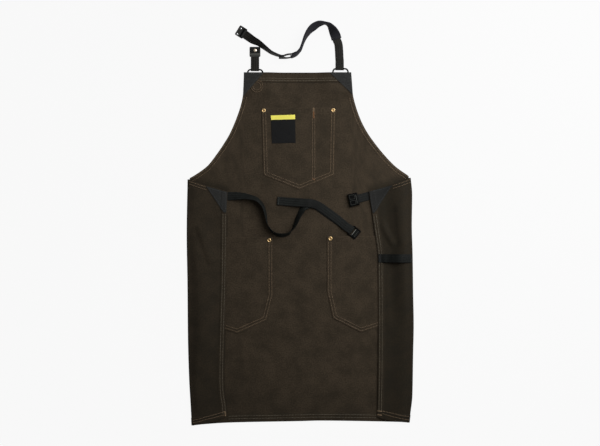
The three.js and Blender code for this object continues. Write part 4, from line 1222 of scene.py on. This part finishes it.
# the last number of each shell is its share of painted highlight
makeMoulding("waist_buckle_male_frame", "waist_buckle_male", [
    (maleFrame, turn, spot, 0),
    (solidPlate(0.9, 8.6, 0.6, 2.8, 3.7, 0.3), turn, spot + maleRun * (window + 3.9), 0.6),
    *[(solidPlate(0.8, 8.8, 0.6, 2.8, 3.5, 0.3), turn, spot + maleRun * step, rub)
      for step, rub in ((3.0, 0.05), (6.0, 0.15), (9.0, 0.05))],
])

# female half: a sleeve open along its run, rings of (half width, half height, radius, place along), with
# a raised rim and two windows' frames on top
sleeveRings = [
    (15.3, 3.75, 1.5, 0.5), (15.3, 3.75, 1.5, 22.9), (14.8, 3.25, 1.2, 23.4), (12.4, 2.2, 0.6, 23.4),
    (12.0, 1.8, 0.4, 22.9), (12.0, 1.8, 0.4, 0.5), (12.4, 2.2, 0.6, 0.0), (14.8, 3.25, 1.2, 0.0)]
sleeve = np.concatenate([
    np.column_stack([
        np.full(ringCount, along - female["long"] / 2),
        roundedRing(wide, high, radius) + (0, female["high"] / 2)])
    for wide, high, radius, along in sleeveRings])
index = ringIndex(len(sleeveRings), ringCount)
sleeveFaces = [gridQuads(np.concatenate([index, index[:1]]))[:, ::-1]]
turn, spot = female["turn"], np.array([female["x"], female["y"], onCloth])
femaleRun = np.array([math.cos(turn), math.sin(turn), 0])
femaleAcross = np.array([-femaleRun[1], femaleRun[0], 0])
windowFrame = framePlate(6.6, 5.4, 1.4, 5.4, 4.2, 0.9, 7.3, 8.2, 0.25)
# the last number of each shell is its share of painted highlight
makeMoulding("waist_buckle_female_frame", "waist_buckle_female", [
    ((sleeve, sleeveFaces), turn, spot, 0),
    *[(windowFrame, turn, spot + femaleAcross * off - femaleRun * 2.8, 0.12) for off in (-6.7, 6.7)],
    (solidPlate(0.8, 10.4, 0.6, 7.3, 8.3, 0.3), turn, spot + femaleRun * 6.6, 0.22),
    (solidPlate(0.6, 13.4, 0.5, 7.3, 8.1, 0.3), turn, spot + femaleRun * 10.2, 0.08),
])

# pocket rivets: a domed rim round a dimple, rows of (radius, level, hollow)
pocketRivet = [
    (2.0, 0, 0), (4.4, 0, 0), (4.8, 0.35, 0), (4.7, 0.8, 0), (4.2, 1.2, 0), (3.4, 1.3, 0), (2.7, 1.1, 0.2),
    (2.2, 0.6, 1), (1.6, 0.35, 1), (1.0, 0.5, 0.8), (0.3, 0.6, 0.6)]
rivets = [
    ("chest_rivet_left", -83.4, 329.8, "chest_pocket"), ("chest_rivet_right", 83.2, 330.5, "chest_pocket"),
    ("hand_rivet_left", -70.1, 18.7, "hand_pocket_left"),
    ("hand_rivet_right", 76.3, 22.8, "hand_pocket_right")]
for name, x, y, pocket in rivets:
    high = float(pocketTop(pockets[pocket])(np.float64(x), np.float64(y)))
    makeTurned(name + "_head", name, pocketRivet, (x, y, high), brass)
print("hardware ready")

# stitching: every stitch is a short five-sided tube whose ends dip into the cloth
stitch = {
    "pitch": 3.6, "share": 0.76, "round": 0.44, "heavy": 0.52, "rise": 0.2, "dip": 0.5, "sides": 5,
    "tackGap": 0.9,
}


# ends of the stitches along a plan line, at the height of a surface there
def sewLine(line, top):
    line = np.asarray(line, float)[:, :2]
    length = lengthAlong(line)
    count = max(1, int(round(length[-1] / stitch["pitch"])))
    middle = (np.arange(count) + 0.5) * length[-1] / count
    reach = stitch["share"] * length[-1] / count / 2
    ends = []
    for sign in (-1, 1):
        x, y = (np.interp(middle + sign * reach, length, line[:, k]) for k in (0, 1))
        ends.append(np.column_stack([x, y, top(x, y)]))
    return np.stack(ends, 1)


# bar tack: close stitches lying across a short line
def sewTack(start, end, wide, top):
    start, end = np.asarray(start, float), np.asarray(end, float)
    count = max(3, int(np.linalg.norm(end - start) / stitch["tackGap"]))
    at = start + (end - start) * np.linspace(0, 1, count)[:, None]
    side = unit(end - start)[::-1] * (1, -1) * wide / 2
    ends = [np.column_stack([at + sign * side, top(*(at + sign * side).T)]) for sign in (-1, 1)]
    return np.stack(ends, 1)


# line of corners moved sideways by a distance, corners kept square (positive: to the right of its run)
def insetLine(corners, distance):
    corners = np.asarray(corners, float)
    run = unit(np.diff(corners, axis=0))
    side = np.stack([run[:, 1], -run[:, 0]], 1)
    before = np.concatenate([side[:1], side])
    after = np.concatenate([side, side[-1:]])
    meet = before + after
    return corners + distance * meet * 2 / np.maximum((meet ** 2).sum(1, keepdims=True), 1e-9)


# tubes for all stitches of a group as one mesh: rings at four places along, thin and low at the ends
def makeStitches(name, groups, material, radius=stitch["round"]):
    ends = np.concatenate(groups)
    along = ends[:, 1] - ends[:, 0]
    up = np.tile((0.0, 0.0, 1.0), (len(ends), 1))
    across = unit(np.cross(along, up))
    share = np.array([0, 0.25, 0.75, 1])
    level = np.array([-stitch["dip"], stitch["rise"], stitch["rise"], -stitch["dip"]])
    thick = radius * np.array([0.55, 1, 1, 0.55])
    sides = stitch["sides"]
    angle = np.linspace(0, 2 * math.pi, sides + 1)[:-1]
    ring = np.stack([np.cos(angle), np.sin(angle)], 1)
    place = ends[:, None, 0] + along[:, None] * share[None, :, None] + up[:, None] * level[None, :, None]
    points = place[:, :, None] + thick[None, :, None, None] * (
        ring[None, None, :, :1] * across[:, None, None] + ring[None, None, :, 1:] * up[:, None, None])
    index = ringIndex(len(share), sides)
    start = (np.arange(len(ends)) * len(share) * sides)[:, None, None]
    blocks = [gridQuads(index), index[:1, :-1], index[-1:, -2::-1]]
    faces = [(block[None] + start).reshape(-1, block.shape[1]) for block in blocks]
    makePiece(name, points.reshape(-1, 3), faces, material)


seamRows = (2.8, 9.2)  # mm from an edge to the two rows of a double seam
armRows = []
for side, line in zip((leftSide, rightSide), armholeLines):
    fine = evenPath(line, 3.0)
    for row in seamRows:
        beside = besideLine(fine, side["hand"] * row)
        armRows.append(sewLine(beside[(beside[:, 1] < 364) & (np.abs(beside[:, 0]) < 263)], frontTop))
bibRows = [
    sewLine([(-93.5, 406.8), (87.5, 406.8)], frontTop), sewLine([(-90, 401.3), (93, 401.3)], frontTop)]
lowX = np.linspace(-168, 186, 120)
hemRows = [sewLine(np.column_stack([lowX, frontLow(lowX) + up]), frontTop) for up in (8.5, 15.0)]
makeStitches("armhole_stitching", armRows, tanThread)
makeStitches("hem_stitching", [*bibRows, *hemRows], oliveThread, radius=stitch["heavy"])

chestTop = pocketTop(pockets["chest_pocket"])
chestEdge = [(-88.3, 335.8), (-83.8, 175.2), (2.2, 140.9), (85.7, 175.2), (89, 335.8)]
chestRows = [sewLine(insetLine(chestEdge, -row), chestTop) for row in seamRows]
penRows = [sewLine([(x, 335.5), (x, 164.9)], chestTop) for x in (33.8, 39.1)]
handRows = []
for name, edge in (
    ("hand_pocket_left", [(-61.4, 12), (-61.2, -112.8), (-76.1, -172.8), (-147.1, -204), (-177, -194.5)]),
    ("hand_pocket_right", [(68.9, 15), (68.9, -103.2), (82.8, -168.2), (150.2, -201.6), (193, -187.4)]),
):
    turn = 1 if name.endswith("left") else -1
    handRows += [sewLine(insetLine(edge, turn * row), pocketTop(pockets[name])) for row in seamRows]
makeStitches("pocket_stitching", [*chestRows, *penRows, *handRows], tanThread)

wingRows = []
for side, top, patchLow, low in ((leftSide, leftWingTop, 82, -397), (rightSide, rightWingTop, 81, -392)):
    y = np.linspace(patchLow, low, 160)
    for row in (2.9, 8.7):
        wingRows.append(sewLine(np.column_stack([side["edgeX"](y) + side["hand"] * row, y]), top))
wingHemRows = []
for side, top, start, end in ((leftSide, leftWingTop, -262, -221), (rightSide, rightWingTop, 226, 266)):
    x = np.linspace(start, end, 20)
    for row in (3.0, 9.6):
        wingHemRows.append(sewLine(np.column_stack([x, side["topY"](x) - row]), top))
hemLines = [
    (leftWingTop, 0.7, [
        (-253.7, -412.2), (-235, -408.6), (-223, -404.4), (-211, -401.4), (-199, -398.6), (-187, -395),
        (-177, -391.6)]),
    (leftWingTop, 0, [
        (-252.7, -418.2), (-235, -414.6), (-223, -410.6), (-211, -408), (-199, -405.4), (-187, -402),
        (-178.8, -399.6)]),
    (rightWingTop, 0.7, [(201, -390.4), (220.8, -394.8), (232.8, -397.6), (244.8, -400.3), (264.7, -403.2)]),
    (rightWingTop, 0, [(201, -396.6), (220.8, -402.4), (232.8, -405.3), (244.8, -407.8), (264.7, -411)]),
]
for top, lift, line in hemLines:
    wingHemRows.append(sewLine(line, top) + (0, 0, lift))  # the upper row lies on the step of the hem
makeStitches("wing_hem_stitching", wingHemRows, tanThread, radius=0.5)
makeStitches("wing_stitching", wingRows, oliveThread, radius=stitch["heavy"])

makeStitches("bar_tacks_rust", [
    sewTack((36.4, 327), (36.4, 312), 3.6, chestTop),
    sewTack((34.2, 166.6), (38.6, 163.4), 3.0, chestTop)], rustThread)
makeStitches("bar_tacks_tan", [
    sewTack((36.4, 336), (36.4, 328), 3.8, chestTop),
    sewTack((-176.5, -391), (-175, -402), 3.4, leftWingTop),
    sewTack((189.8, -390), (199, -391.4), 3.0, rightWingTop),
    sewTack((190, -399), (199, -400.6), 3.0, rightWingTop)], tanThread)


# height of the upper side of a band near places on it
def bandTop(rows, thick):
    def at(x, y):
        nearest = ((rows[:, None, 0] - x) ** 2 + (rows[:, None, 1] - y) ** 2).argmin(0)
        return rows[nearest, 2] + thick / 2

    return at


# tack across a band at one of its rows, reaching to either side of its middle
def sewAcross(rows, number, reach, wide, top):
    place, across = rows[number, :2], unit(rows[number, 3:5])
    return sewTack(place - across * reach, place + across * reach, wide, top)


# tacks across the webbing: the neck strap above its ring, the tool loop's ends, the pad's and the tail's end
neckUpper = neckRows[neckRows[:, 2] > 2.0]
neckTop = bandTop(neckUpper, web["thick"])
loopTop = bandTop(loopRows, web["thick"])
padTop = bandTop(padRows[:10], neck["padThick"])
tailRows = waistRows[-24:]
tailTop = bandTop(tailRows, web["thick"])
makeStitches("webbing_tacks", [
    *[sewTack((neck["x"] - 9, y), (neck["x"] + 9, y), 2.4, neckTop) for y in (441.8, 437.6)],
    *[sewTack((x, loop["y"] - 9.4), (x, loop["y"] + 9.4), 2.6, loopTop) for x in (193.4, 196.4, 268.8)],
    sewAcross(padRows, 2, 10.6, 1.6, padTop)], blackThread)
makeStitches("tail_tacks", [sewAcross(tailRows, -3, 8.6, 2.2, tailTop)], greyThread)

patchRows = []
for name, (leftEdge, rightEdge, _) in patchPlans.items():
    corners = np.array([*leftEdge, *rightEdge[::-1], leftEdge[0], leftEdge[1]], float)
    inner = insetLine(corners, patches["seam"])[1:-1]
    patchRows.append(sewLine(np.concatenate([inner, inner[:1]]), patchTop(patchSupports[name])))
makeStitches("patch_stitching", patchRows, greyThread)
turn = np.linspace(0, 2 * math.pi, 80)
tabRows = []
for radius in roundTab["stitches"]:
    ringLine = np.stack([roundTab["x"] + radius * np.cos(turn), roundTab["y"] + radius * np.sin(turn)], 1)
    ringLine = ringLine[ringLine[:, 0] > patchEdgeAt(ringLine[:, 1]) + roundTab["stitchClear"]]
    widest = int(np.argmax(np.linalg.norm(np.diff(ringLine, axis=0), axis=1)))
    ringLine = np.roll(ringLine, -widest - 1, axis=0)  # starts and ends at the patch
    tabRows.append(sewLine(ringLine, patchTop(roundSupport)))
makeStitches("round_tab_stitching", tabRows, tanThread)
print("stitching ready")

# floor, light and camera
stage = {
    "floorHalf": 4.0, "floorLevel": -0.0004, "floorGlow": 0.925, "floorAlbedo": "#2e2e2e",
    "keyAt": (0.8, 0.6, 1.0), "keyWide": 1.1, "keyWatts": 23.9, "skyStrength": 0.2,
    "cameraAt": (0.0036, 0.060, 3.0), "lens": 75.0, "sensor": 36.0,
}
reach = stage["floorHalf"]
floorMesh = bpy.data.meshes.new("pale_floor")
corners = ((-reach, -reach), (reach, -reach), (reach, reach), (-reach, reach))
floorMesh.from_pydata([(x, y, stage["floorLevel"]) for x, y in corners], [], [(0, 1, 2, 3)])
floor = bpy.data.objects.new("pale_floor", floorMesh)
scene.collection.objects.link(floor)
# white seamless paper: matte, lit through from behind, almost no shadow
paper, _, paperShader = newMaterial("white seamless paper")
paperShader.inputs["Base Color"].default_value = colour(stage["floorAlbedo"])
paperShader.inputs["Roughness"].default_value = 1.0
paperShader.inputs["Specular IOR Level"].default_value = 0.0
paperShader.inputs["Emission Color"].default_value = (1, 1, 1, 1)
paperShader.inputs["Emission Strength"].default_value = stage["floorGlow"]
floorMesh.materials.append(paper)

world = bpy.data.worlds.new("studio")
world.use_nodes = True
sky = world.node_tree.nodes["Background"]
sky.inputs["Color"].default_value = (1, 1, 1, 1)
sky.inputs["Strength"].default_value = stage["skyStrength"]
scene.world = world

keyData = bpy.data.lights.new("key", "AREA")
keyData.energy = stage["keyWatts"]
keyData.size = stage["keyWide"]
key = bpy.data.objects.new("key", keyData)
key.location = stage["keyAt"]
key.rotation_euler = (-key.location).to_track_quat("-Z", "Y").to_euler()
key.visible_camera = False
scene.collection.objects.link(key)

cameraData = bpy.data.cameras.new("camera")
cameraData.lens = stage["lens"]
cameraData.sensor_width = stage["sensor"]
camera = bpy.data.objects.new("camera", cameraData)
camera.location = stage["cameraAt"]
scene.collection.objects.link(camera)
scene.camera = camera
scene.view_settings.view_transform = "Standard"
print("stage ready")
